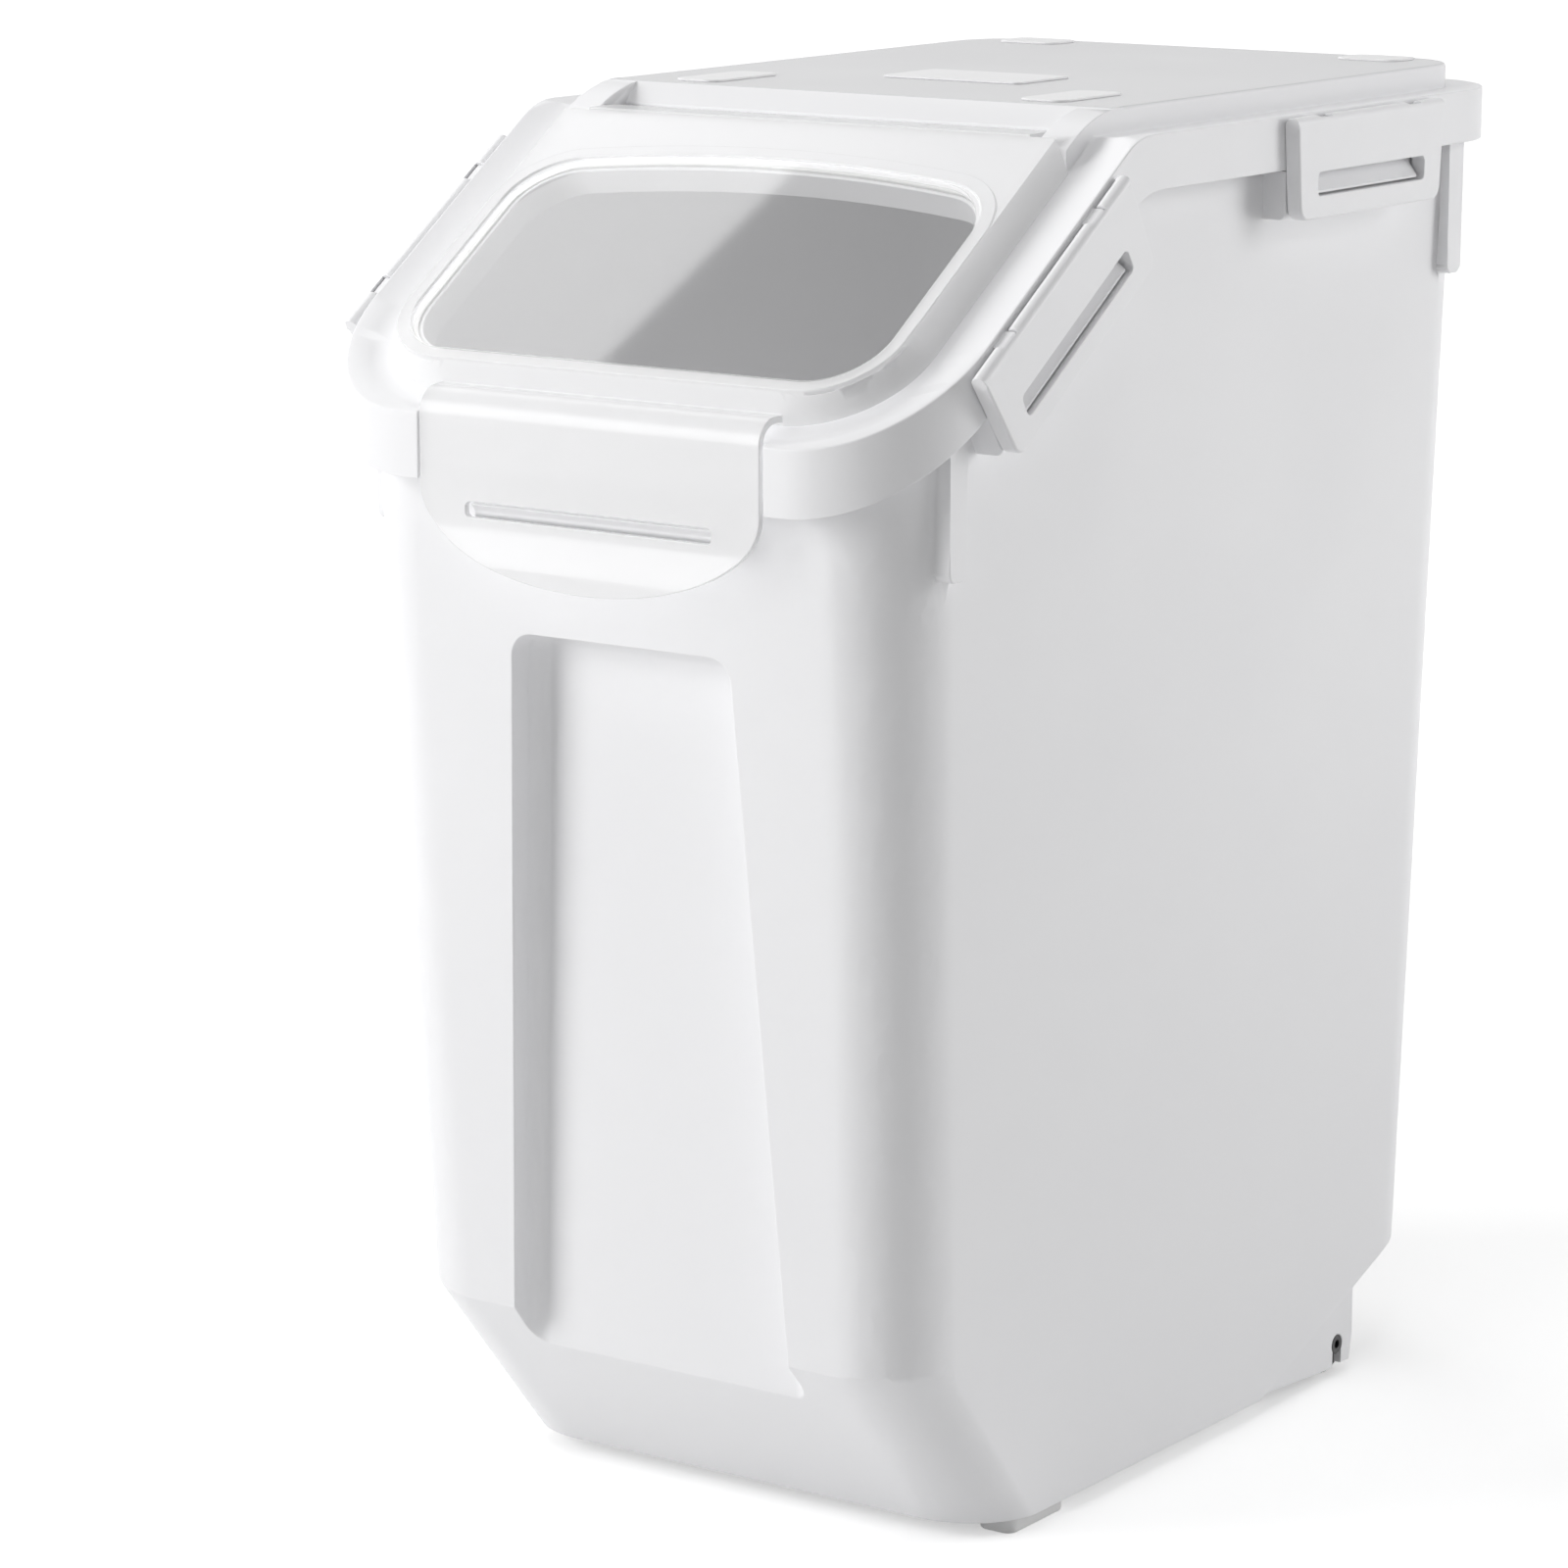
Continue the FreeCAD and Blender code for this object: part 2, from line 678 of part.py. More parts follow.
def wheel_plate(name, inside):
    """A plate under the heel slope, with an open seat for the wheel's trunnion."""
    body = new_body(name)
    ramp = "foot_height + tub_wall / 2 + (plate_rear - heel_start) * tan(heel_angle)"
    jaw = "axle_place + trunnion_radius + plate_jaw"
    corners = [
        ("heel_start", "foot_height + tub_wall / 2"),
        ("axle_place - trunnion_radius - plate_jaw", "plate_bottom"),
        (jaw, "plate_bottom"),
        ("plate_rear", "wheel_radius"),
        ("plate_rear", ramp),
    ]
    sketch = polygon(body, "YZ_Plane", corners, inside)
    extrude(body, "Pad", sketch, "plate_wall", both_ways=False)
    seat = disc(body, "YZ_Plane", "axle_place", "wheel_radius", "trunnion_radius + trunnion_gap")
    extrude(body, "Pocket", seat, "2 * reach")
    half = "seat_mouth_share * trunnion_radius"
    slot = [(f"axle_place - {half}", "-overrun"), (f"axle_place + {half}", "-overrun")]
    slot += [(f"axle_place + {half}", "wheel_radius"), (f"axle_place - {half}", "wheel_radius")]
    extrude(body, "Pocket", polygon(body, "YZ_Plane", slot), "2 * reach")
    return body


def bin_body():
    walls = common("tub_walls", tub_form("tub_outside", "0"), foot_form("tub_foot", "0"))
    top = below("tub_top", SEAL_REAR, SEAL_SLOPE)
    outside = cut("tub_block", common("tub_trimmed", walls, top), recess_form("recess", "0"))
    flange = seal_outline("flange_outline", "0")
    band = bent_band("flange_band", (SEAL_REAR, SEAL_SLOPE), (FLANGE_REAR, FLANGE_SLOPE))
    skirt_room = below("skirt_room", FLANGE_REAR, FLANGE_SLOPE)
    ribs = fuse("ribs", rib("front_rib", "-rib_front", f"({RIM_FOOT} - rib_front_drop)"),
                rib("rear_rib", "rib_rear", "(rim_height - rib_rear_drop)"))
    blocks = fuse("catch_blocks", *[catch_block(place) for place in PLACES])
    outer_plate = wheel_plate("outer_plate", f"{WHEEL_OUTSIDE} + wheel_side_gap")
    inner_plate = wheel_plate("inner_plate", f"{WHEEL_OUTSIDE} - wheel_width - wheel_side_gap - plate_wall")
    plates = fuse("wheel_plates", outer_plate, inner_plate)
    sides = pair("tub_sides", fuse("tub_side", common("ribs_below", ribs, skirt_room), blocks, plates))
    solid = fuse("tub_solid", outside, common("rim_flange", flange, band), sides, front_catch())
    room = common("cavity_room", tub_form("tub_inside", "tub_wall"), foot_form("cavity_foot", "tub_wall"))
    base = box("tub_base", symmetric("reach"), ("-reach", "reach"), ("0", "foot_height + tub_wall"))
    cavity = cut("cavity", room, recess_form("recess_wall", "tub_wall"), base)
    return cut("bin_body", solid, cavity)


# Main lid

def gutter_tools():
    """The gutter's two hollows: a level one behind the bend and a sloped one before it."""
    foot_half, edge_half = "rim_half_width - gutter_width", "rim_half_width - gutter_lip"
    rear_foot, rear_edge = "rim_rear - gutter_rear_width", "rim_rear - gutter_lip"
    foot_radii = ("gutter_foot_radius", "rim_rear_radius - gutter_rear_width")
    edge_radii = ("gutter_edge_radius", "rim_rear_radius - gutter_lip")
    above = "panel_rise + overrun"
    level = taper("gutter_level", [
        (symmetric(foot_half), ("-rim_front", rear_foot), foot_radii, "rim_height - gutter_rear_depth"),
        (symmetric(edge_half), ("-rim_front", rear_edge), edge_radii, "rim_height"),
        (symmetric(edge_half), ("-rim_front", rear_edge), edge_radii, f"rim_height + {above}"),
    ])
    front = "(rim_front - slope_break) / cos(slope_angle)"
    foot_front, edge_front = f"-({front} - gutter_width / 2)", f"-({front} - gutter_lip)"
    sloped = on_slope(taper("gutter_sloped", [
        (symmetric(foot_half), (foot_front, "rim_rear"), foot_radii, "-gutter_slope_depth"),
        (symmetric(edge_half), (edge_front, "rim_rear"), edge_radii, "0"),
        (symmetric(edge_half), (edge_front, "rim_rear"), edge_radii, above),
    ]))
    return level, sloped


def top_panel(name, inset):
    """The raised panel, or the hollow under it."""
    half = f"{PANEL_HALF} - {inset}"
    front = STRIP_FOOT if inset == "0" else f"-slope_break + panel_setback + {inset}"
    rear = f"rim_rear - panel_rear_inset - {inset}"
    radii = ("panel_front_radius", f"panel_radius - {inset}")
    bottom = f"rim_height + {DECK_REAR}" if inset == "0" else f"rim_height + {DECK_REAR} - overrun"
    body = slab(name, symmetric(half), (front, rear), radii, bottom, f"{PANEL_TOP} - {inset}")
    if inset == "0":
        soften(body, "panel_softness", lambda edge: at(edge.BoundBox.ZMin, PANEL_TOP))
    return body


def strip_cut():
    """The slanted front of the panel, above the flip lid's hinge."""
    top_edge = "-slope_break + panel_setback"
    above = f"{PANEL_TOP} + strip_run"
    corners = [(STRIP_FOOT, "rim_height"), (top_edge, PANEL_TOP), (top_edge, above), ("-reach", above)]
    return side_profile("strip_cut", corners + [("-reach", "rim_height")], "reach")


def hinge_ear():
    """One ear beside the flip lid's hinge, with a crowned top."""
    crown = "-slope_break + ear_crown_setback"
    low = "rim_height - ear_front"
    block = box("ear_block", (EAR_INSIDE, PANEL_HALF), ("-slope_break - ear_front", crown), (low, PANEL_TOP))
    round_top = rod("ear_crown", "ear_crown_radius", ("0", "rim_half_width"), crown,
                    f"{PANEL_TOP} - ear_crown_radius")
    return common("ear", block, round_top)


def plateau_form(name, inset, top, bottom):
    """The drafted cap of the flip lid in the slope frame, set in by a given distance."""
    height = "(plateau_rise + gutter_slope_depth)"
    sections = []
    for level in (bottom, top):
        flare = f"plateau_flare * (plateau_rise - ({level})) / {height}"
        front_flare = f"plateau_front_flare * (plateau_rise - ({level})) / {height}"
        half = f"rim_half_width - plateau_inset + {flare} - ({inset})"
        front = f"-(plateau_front + {front_flare} - ({inset}))"
        radii = (f"plateau_radius + {flare} - ({inset})", "lid_wall")
        sections.append((symmetric(half), (front, "-plateau_top"), radii, level))
    return on_slope(taper(name, sections))


COLLAR_TOP = "plateau_rise - lid_wall - lid_gap"
COLLAR_INSET = "lid_wall + lid_gap"


def mouth_outline(name, grow, low, high):
    """A plate of the mouth's outline in the slope frame, grown by a given distance."""
    half = f"rim_half_width - plateau_inset - {COLLAR_INSET} - collar_wall + {grow}"
    front = f"-(plateau_front - {COLLAR_INSET} - collar_wall + {grow})"
    top = f"-mouth_top + {grow}"
    body = new_body(name)
    radius, crown = f"mouth_radius + {grow}", f"mouth_crown_radius + {grow}"
    sketch = crowned(body, "XY_Plane", half, (front, top), radius, crown, low)
    extrude(body, "Pad", sketch, f"{high} - ({low})", both_ways=False)
    return on_slope(body)


SEAL_GROOVE = "(collar_wall - flip_seal_width) / 2"
GROOVE_FLOOR = f"{COLLAR_TOP} - flip_seal_depth"


def mouth_ring(name, grow, width, low, high):
    """A ring round the mouth, from one offset of its outline to another."""
    outside = mouth_outline(f"{name}_outside", f"{grow} + {width}", low, high)
    return cut(name, outside, mouth_outline(f"{name}_inside", grow, low, high))


def collar():
    """The raised frame round the mouth, under the flip lid, with the groove of its seal."""
    form = plateau_form("collar_form", COLLAR_INSET, COLLAR_TOP, DECK_SLOPE)
    level = "rim_height - lid_wall - lid_gap"
    low_enough = box("collar_level", symmetric("reach"), ("-reach", "reach"), ("0", level))
    trough_front = f"{HINGE_ALONG} - barrel_radius - barrel_gap"
    clear = box("collar_room", symmetric("reach"), ("-reach", trough_front), ("0", "2 * reach"))
    block = common("collar_block", common("collar_low", form, low_enough), clear)
    groove = mouth_ring("seal_groove", SEAL_GROOVE, "flip_seal_width", GROOVE_FLOOR, "overrun")
    return cut("collar", block, groove)


def hinge_trough():
    """The half pipe below the flip lid's barrel, and the room above it."""
    inside = "barrel_radius + barrel_gap"
    pipe = rod("trough_pipe", f"{inside} + deck_wall", symmetric(EAR_INSIDE), HINGE_ALONG, HINGE_UP)
    lower = box("trough_lower", symmetric("reach"), ("-reach", "reach"), ("0", f"{HINGE_UP} + trough_rise"))
    bore = rod("trough_bore", inside, symmetric(EAR_INSIDE), HINGE_ALONG, HINGE_UP)
    along = (f"{HINGE_ALONG} - {inside}", STRIP_FOOT)
    room = box("trough_room", symmetric(EAR_INSIDE), along, (HINGE_UP, PANEL_TOP))
    return common("trough", pipe, lower), fuse("trough_hollow", bore, room)


def latch_lug(place, offset):
    """A lug on the rim that carries a latch's pin."""
    body = new_body(f"lug_{place}")
    root = "-(latch_gap + latch_thickness / 2 + skirt_wall / 2)"
    radius = "lug_radius"
    corners = [(root, f"-{radius}"), ("0", f"-{radius}"), ("0", radius), (root, radius)]
    extrude(body, "Pad", polygon(body, "XZ_Plane", corners, offset), "lug_width")
    extrude(body, "Pad", disc(body, "XZ_Plane", "0", "0", radius, offset), "lug_width")
    bore = disc(body, "XZ_Plane", "0", "0", "latch_pin_radius + pin_press_gap", offset)
    extrude(body, "Pocket", bore, "reach")
    return on_latch(body, place)


def lid_frame():
    rim = slab("rim_outline", symmetric("rim_half_width"), ("-rim_front", "rim_rear"),
               ("rim_front_radius", "rim_rear_radius"), "rim_height / 2", "rim_height + overrun")
    band = bent_band("rim_band", ("0", "0"), ("-skirt_depth", "-skirt_depth"))
    soften(band, "rim_bend_radius", lambda edge: runs(edge, "x")
           and abs(edge.CenterOfMass.y) < measure("rim_front"))
    blank = common("rim_blank", rim, band)
    dished = cut("rim_dished", blank, *gutter_tools())
    panel = cut("panel_block", top_panel("panel", "0"), strip_cut())
    raised = fuse("lid_raised", dished, panel, pair("ears", hinge_ear()), collar())
    skirt_along = ("-(rim_front - skirt_wall)", "rim_rear - skirt_wall")
    inner = slab("skirt_inside", symmetric("rim_half_width - skirt_wall"), skirt_along, SKIRT_RADII,
                 "rim_height / 2", "rim_height")
    hollow = common("skirt_hollow", inner, below("deck_band", DECK_REAR, DECK_SLOPE))
    recess_half = "tongue_half_width + tongue_gap"
    recess = box("tongue_room", symmetric(recess_half), ("-2 * rim_front", TONGUE_RECESS),
                 ("rim_height / 2", "rim_height"))
    backing = box("tongue_backing", symmetric(f"{recess_half} + skirt_wall"),
                  (TONGUE_RECESS, f"{TONGUE_RECESS} + skirt_wall"),
                  (f"{RIM_FOOT} - front_wall_drop", "rim_height"))
    under_deck = below("under_deck", "0", "-gutter_slope_depth")
    trough, trough_hollow = hinge_trough()
    shell = cut("lid_shell", raised, hollow, top_panel("panel_hollow", "deck_wall"), recess)
    lugs = [latch_lug(place, offset) for place in PLACES for offset in ("lug_place", "-lug_place")]
    whole = fuse("lid_whole", shell, common("tongue_wall_back", backing, under_deck), trough,
                 pair("lugs", fuse("lugs_right", *lugs)))
    mouth = mouth_outline("mouth", "0", "-reach / 4", "reach / 4")
    pin_room = rod("ear_pin_hole", "hinge_pin_radius + pin_press_gap",
                   ("0", f"{EAR_INSIDE} + hinge_pin_depth"), HINGE_ALONG, HINGE_UP)
    return cut("lid_frame", whole, mouth, trough_hollow, pair("ear_pin_holes", pin_room))


# Flip lid

def tongue_outline():
    """The tongue's front view: straight sides above a half ellipse."""
    body = new_body("tongue_outline")
    sketch = new_sketch(body, "XZ_Plane", "0")
    depth = "tongue_drop - tongue_shoulder_drop"
    centre = FreeCAD.Vector(0, measure(TONGUE_SHOULDER), 0)
    sketch.addGeometry(Part.Ellipse(centre, measure("tongue_half_width"), measure(depth)))
    sketch.exposeInternalGeometry(0)
    sketch.addConstraint(Sketcher.Constraint("Horizontal", 1))
    sketch.addConstraint(Sketcher.Constraint("PointOnObject", 0, 3, -2))
    hold(sketch, "DistanceY", -1, 1, 0, 3, text=TONGUE_SHOULDER)
    hold(sketch, "Distance", 1, text="2 * tongue_half_width")
    hold(sketch, "Distance", 2, text=f"2 * ({depth})")
    extrude(body, "Pad", sketch, "2 * reach")
    sides = [("-tongue_half_width", TONGUE_SHOULDER), ("tongue_half_width", TONGUE_SHOULDER)]
    tops = [("tongue_half_width", "rim_height"), ("-tongue_half_width", "rim_height")]
    extrude(body, "Pad", polygon(body, "XZ_Plane", sides + tops), "2 * reach")
    return body


def tongue():
    """The strap that bends over the rim's front and hangs down to the catch, with its slot."""
    body = new_body("tongue_strap")
    centre = f"{TONGUE_FACE} + tongue_bend_radius"
    top = f"{TONGUE_BEND} + tongue_bend_radius"
    level = "plateau_front + plateau_front_flare * plateau_rise / (plateau_rise + gutter_slope_depth)"
    start = f"-(slope_break + ({level} - lid_wall / 2) * cos(slope_angle))"
    bar = [(centre, f"{top} - tongue_wall"), (start, f"{top} - tongue_wall"), (start, top), (centre, top)]
    extrude(body, "Pad", polygon(body, "YZ_Plane", bar), "2 * tongue_half_width")
    drop = [
        (TONGUE_FACE, TONGUE_BEND),
        (TONGUE_FACE, f"{TONGUE_BOTTOM} + tongue_lip_height"),
        (f"{TONGUE_FACE} - tongue_lip", f"{TONGUE_BOTTOM} + tongue_lip_straight"),
        (f"{TONGUE_FACE} - tongue_lip", TONGUE_BOTTOM),
        (f"{TONGUE_BACK} - tongue_lip", TONGUE_BOTTOM),
        (f"{TONGUE_BACK} - tongue_lip", f"{TONGUE_BOTTOM} + tongue_lip_straight"),
        (TONGUE_BACK, f"{TONGUE_BOTTOM} + tongue_lip_height"),
        (TONGUE_BACK, TONGUE_BEND),
    ]
    extrude(body, "Pad", polygon(body, "YZ_Plane", drop), "2 * tongue_half_width")
    slot_bottom = f"{RIM_FOOT} - tongue_slot_drop"
    slot_ends = (slot_bottom, f"{slot_bottom} + tongue_slot_height")
    slot = rounded(body, "XZ_Plane", symmetric("tongue_slot_half_width"), slot_ends,
                   ("tongue_slot_radius", "tongue_slot_radius"))
    extrude(body, "Pocket", slot, "2 * reach")
    across, height = symmetric("tongue_half_width"), TONGUE_BEND
    ring = rod("bend_outside", "tongue_bend_radius", across, centre, height)
    core = rod("bend_inside", "tongue_bend_radius - tongue_wall", symmetric("reach"), centre, height)
    quarter = box("bend_quarter", symmetric("reach"), ("-2 * rim_front", centre), (height, "rim_height"))
    hanging = common("tongue_hanging", body, tongue_outline())
    return fuse("tongue", hanging, common("tongue_bend", cut("bend_ring", ring, core), quarter))


def flip_lid():
    cap_low = "-gutter_slope_depth + lid_gap"
    cap = plateau_form("cap_outside", "0", "plateau_rise", cap_low)
    room = plateau_form("cap_inside", "lid_wall", "plateau_rise - lid_wall", f"{cap_low} - overrun")
    level = box("cap_level", symmetric("reach"), ("-reach", "reach"), ("0", "rim_height"))
    under = box("room_level", symmetric("reach"), ("-reach", "reach"), ("0", "rim_height - lid_wall"))
    shell = cut("cap_shell", common("cap_low", cap, level), common("cap_room", room, under))
    half = f"{EAR_INSIDE} - ear_gap"
    front = "-slope_break - ear_front - ear_gap"
    ledge = box("cap_ledge", symmetric(half), (front, HINGE_ALONG), ("rim_height - lid_wall", "rim_height"))
    barrel = rod("cap_barrel", "barrel_radius", symmetric(half), HINGE_ALONG, HINGE_UP)
    behind = box("behind_barrel", symmetric("reach"), (HINGE_ALONG, "reach"), ("0", "2 * reach"))
    beside = box("beside_hinge", (half, "reach"), (front, "reach"), ("0", "2 * reach"))
    trimmed = cut("cap_trimmed", shell, behind, pair("beside_ears", beside))
    bead_inside = "collar_wall + lid_wall + lid_gap - bead_inset - bead_width"
    bead_low, bead_high = "plateau_rise - lid_wall / 2", "plateau_rise + bead_rise"
    bead = mouth_ring("bead", bead_inside, "bead_width", bead_low, bead_high)
    whole = fuse("flip_whole", trimmed, ledge, barrel, tongue(), bead)
    pin_room = rod("barrel_pin_hole", "hinge_pin_radius + pin_running_gap",
                   (f"{half} - hinge_pin_depth", "rim_half_width"), HINGE_ALONG, HINGE_UP)
    return cut("flip_lid", whole, pair("barrel_pin_holes", pin_room))


# Seals

def lid_gasket():
    inside = seal_outline("lid_seal_inside", "lid_seal_width")
    ring = cut("lid_seal_ring", seal_outline("lid_seal_outside", "0"), inside)
    band = bent_band("lid_seal_band", (DECK_REAR, DECK_SLOPE), (SEAL_REAR, SEAL_SLOPE))
    return common("lid_gasket", ring, band)


def flip_gasket():
    return mouth_ring("flip_gasket", SEAL_GROOVE, "flip_seal_width", GROOVE_FLOOR,
                      f"{COLLAR_TOP} + lid_gap - seal_gap")


def flip_hinge_pin():
    across = (f"{EAR_INSIDE} - ear_gap - hinge_pin_depth", f"{EAR_INSIDE} + hinge_pin_depth")
    return rod("flip_hinge_pin_right", "hinge_pin_radius", across, HINGE_ALONG, HINGE_UP)


# Side latches

def side_latch(name, place):
    """A clip latch: a plate with a slot, rolled round its pin at the top, notched there for the lugs."""
    body = new_body(name)
    half = "latch_length / 2"
    low = "-(latch_height - latch_thickness / 2)"
    foot = f"{half} - latch_taper"
    corners = [(f"-({foot})", low), (foot, low), (half, "0"), (f"-{half}", "0")]
    extrude(body, "Pad", polygon(body, "YZ_Plane", corners), "latch_thickness")
    soften(body, "latch_corner_radius", lambda edge: at(edge.CenterOfMass.z, low) and runs(edge, "x"))
    soften(body, "latch_softness", lambda edge: at(edge.BoundBox.XMin, "latch_thickness / 2")
           and edge.CenterOfMass.z < -NEAR)
    extrude(body, "Pad", disc(body, "XZ_Plane", "0", "0", "latch_thickness / 2"), "latch_length")
    slot = rounded(body, "YZ_Plane", symmetric("latch_slot_length / 2"),
                   ("-(latch_slot_drop + latch_slot_height)", "-latch_slot_drop"),
                   ("latch_slot_radius", "latch_slot_radius"))
    extrude(body, "Pocket", slot, "2 * latch_thickness")
    bore = disc(body, "XZ_Plane", "0", "0", "latch_pin_radius + pin_running_gap")
    extrude(body, "Pocket", bore, "latch_pin_length")
    reach_in = "lug_radius + lug_gap"
    notch = [("-latch_thickness", f"-({reach_in})"), (reach_in, f"-({reach_in})")]
    notch += [(reach_in, "latch_thickness"), ("-latch_thickness", "latch_thickness")]
    for offset in ("lug_place", "-lug_place"):
        extrude(body, "Pocket", polygon(body, "XZ_Plane", notch, offset), "lug_width + 2 * lug_gap")
    return on_latch(body, place)


def latch_pin(name, place):
    body = new_body(name)
    extrude(body, "Pad", disc(body, "XZ_Plane", "0", "0", "latch_pin_radius"), "latch_pin_length")
    return on_latch(body, place)


# Wheels, feet, pads and plate

def wheel():
    """A dished wheel with a hollow trunnion on both sides, turned about its axle."""
    body = new_body("wheel_right")
    half, hub = "wheel_width / 2", "wheel_width / 2 + wheel_side_gap + plate_wall"
    web, inside = "wheel_web / 2", "wheel_radius - wheel_rim"
    right = [
        (hub, "trunnion_bore"),
        (hub, "trunnion_radius"),
        (half, "trunnion_radius"),
        (half, "hub_radius"),
        (web, "hub_radius"),
        (web, inside),
        (half, inside),
        (half, "wheel_radius - wheel_softness"),
        (f"{half} - wheel_softness", "wheel_radius"),
    ]
    left = [(f"-({across})", up) for across, up in reversed(right)]
    sketch = polygon(body, "XY_Plane", right + left)
    turned = body.newObject("PartDesign::Revolution", "wheel_turned")
    turned.Profile = sketch
    turned.ReferenceAxis = (sketch, ["H_Axis"])
    turned.Angle = 360
    bind(body, "Placement.Base.x", f"{WHEEL_OUTSIDE} - wheel_width / 2")
    bind(body, "Placement.Base.y", "axle_place")
    bind(body, "Placement.Base.z", "wheel_radius")
    return body


def front_foot():
    along = ("-foot_place - foot_length / 2", "-foot_place + foot_length / 2")
    outside = f"{BASE_HALF} - foot_inset"
    return slab("front_foot_right", (f"{outside} - foot_width", outside), along,
                ("foot_radius", "foot_radius"), "0", "foot_height")


def panel_pads():
    rows = []
    for row in ("front", "rear"):
        place = f"{PANEL_HALF} - {row}_pad_inset"
        across = (f"{place} - {row}_pad_width / 2", f"{place} + {row}_pad_width / 2")
        middle = "-front_pad_middle" if row == "front" else "rear_pad_middle"
        along = (f"{middle} - {row}_pad_length / 2", f"{middle} + {row}_pad_length / 2")
        rows.append(slab(f"{row}_pad", across, along, ("pad_radius", "pad_radius"), PANEL_TOP,
                         f"{PANEL_TOP} + pad_rise"))
    right = fuse("pads_right", *rows)
    return fuse("top_pads", right, mirrored("pads_left", right))


def label_plate():
    along = ("plate_middle - plate_depth / 2", "plate_middle + plate_depth / 2")
    radii = ("plate_radius", "plate_radius")
    top = f"{PANEL_TOP} + plate_rise"
    return slab("label_plate", symmetric("plate_half_width"), along, radii, PANEL_TOP, top)


# The nodes

nodes = [bin_body(), lid_frame(), flip_lid(), lid_gasket(), flip_gasket(), panel_pads(), label_plate()]
right_hand = [flip_hinge_pin(), wheel(), front_foot()]
for latch_place in PLACES:
    right_hand.append(side_latch(f"{latch_place}_latch_right", latch_place))
    right_hand.append(latch_pin(f"{latch_place}_latch_pin_right", latch_place))
for piece in right_hand:
    nodes += [piece, mirrored(piece.Label.replace("right", "left"), piece)]
doc.recompute()

failed = [item.Label for item in doc.Objects if {"Invalid", "Error"} & set(item.State)]
for node in nodes:
    if node.Shape.isNull() or not node.Shape.isValid() or not node.Shape.Solids:
        failed.append(node.Label)
if failed:
    raise RuntimeError(f"These pieces failed: {failed}")

os.makedirs("parts", exist_ok=True)
for node in nodes:
    node.Shape.exportStep(f"parts/{node.Label}.step")
    print(node.Label, len(node.Shape.Solids), round(node.Shape.Volume))
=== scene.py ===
# %% [markdown]
# A food storage bin, dressed for a studio picture.
# The solids of the bin come packed as a fixed frame, in metres, and every piece stays where they put it.
# The lesson sets up the camera first, then the floor and the light, then one finish after another.

# %% Load the fixed frame
import bmesh
import bpy
import json
import math
from mathutils import Matrix, Vector
from mathutils.bvhtree import BVHTree
from mathutils.kdtree import KDTree

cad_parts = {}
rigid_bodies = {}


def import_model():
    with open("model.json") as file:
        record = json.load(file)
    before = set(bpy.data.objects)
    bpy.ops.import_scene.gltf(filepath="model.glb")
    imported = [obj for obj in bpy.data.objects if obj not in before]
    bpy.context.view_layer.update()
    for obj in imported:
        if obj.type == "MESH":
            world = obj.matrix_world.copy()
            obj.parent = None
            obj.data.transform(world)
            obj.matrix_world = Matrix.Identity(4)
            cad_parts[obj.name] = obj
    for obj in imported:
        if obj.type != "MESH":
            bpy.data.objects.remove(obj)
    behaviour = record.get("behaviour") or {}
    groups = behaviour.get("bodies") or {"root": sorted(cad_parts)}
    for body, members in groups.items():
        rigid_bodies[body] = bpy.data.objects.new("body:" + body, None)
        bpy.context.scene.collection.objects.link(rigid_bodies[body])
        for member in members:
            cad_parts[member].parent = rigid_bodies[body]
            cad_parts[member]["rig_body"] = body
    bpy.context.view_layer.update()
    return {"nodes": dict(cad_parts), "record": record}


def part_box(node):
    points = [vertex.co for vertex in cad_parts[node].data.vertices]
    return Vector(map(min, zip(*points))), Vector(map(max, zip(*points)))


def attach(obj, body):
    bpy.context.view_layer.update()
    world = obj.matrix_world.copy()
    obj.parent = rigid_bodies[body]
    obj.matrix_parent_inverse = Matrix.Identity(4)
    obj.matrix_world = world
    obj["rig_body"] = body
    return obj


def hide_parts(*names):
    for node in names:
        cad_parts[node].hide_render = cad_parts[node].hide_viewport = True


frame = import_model()
nodes = frame["nodes"]

# %% [markdown]
# The camera stands to the right of the bin and a little above its lid, at about two metres.
# Its place and turn were fitted to the straight edges of the tub and the rim,
# so that they run as in the picture.
# A long lens keeps the tall sides nearly parallel.

# %% Camera
CAMERA_PLACE = Vector((1.0367, -1.5541, 0.6165))
CAMERA_TURN = (math.radians(78.16), 0, math.radians(35.22))
CAMERA_FIELD = math.radians(16.09)

camera_data = bpy.data.cameras.new("bin_camera")
camera_data.sensor_fit = "HORIZONTAL"
camera_data.angle = CAMERA_FIELD
camera = bpy.data.objects.new("bin_camera", camera_data)
camera.location = CAMERA_PLACE
camera.rotation_euler = CAMERA_TURN
bpy.context.scene.collection.objects.link(camera)
bpy.context.scene.camera = camera
bpy.context.scene.view_settings.view_transform = "Standard"
print("camera at", tuple(CAMERA_PLACE))

# %% [markdown]
# The bin stands in front of plain white. A strong white world would do that, but it would also light
# the bin from all around and wash out its shading.
# So only the rays that the camera sees, straight or by gloss and clear plastic, find a white world.
# The light that the world sheds on the bin is much dimmer. Three small helpers keep the node trees readable.

# %% Helpers for node trees
NODE_STEP = 200


def new_node(tree, kind, place, **settings):
    """Adds a node to a tree, at a place in its editor, and sets its options."""
    node = tree.nodes.new(kind)
    node.location = place
    for name, value in settings.items():
        setattr(node, name, value)
    return node


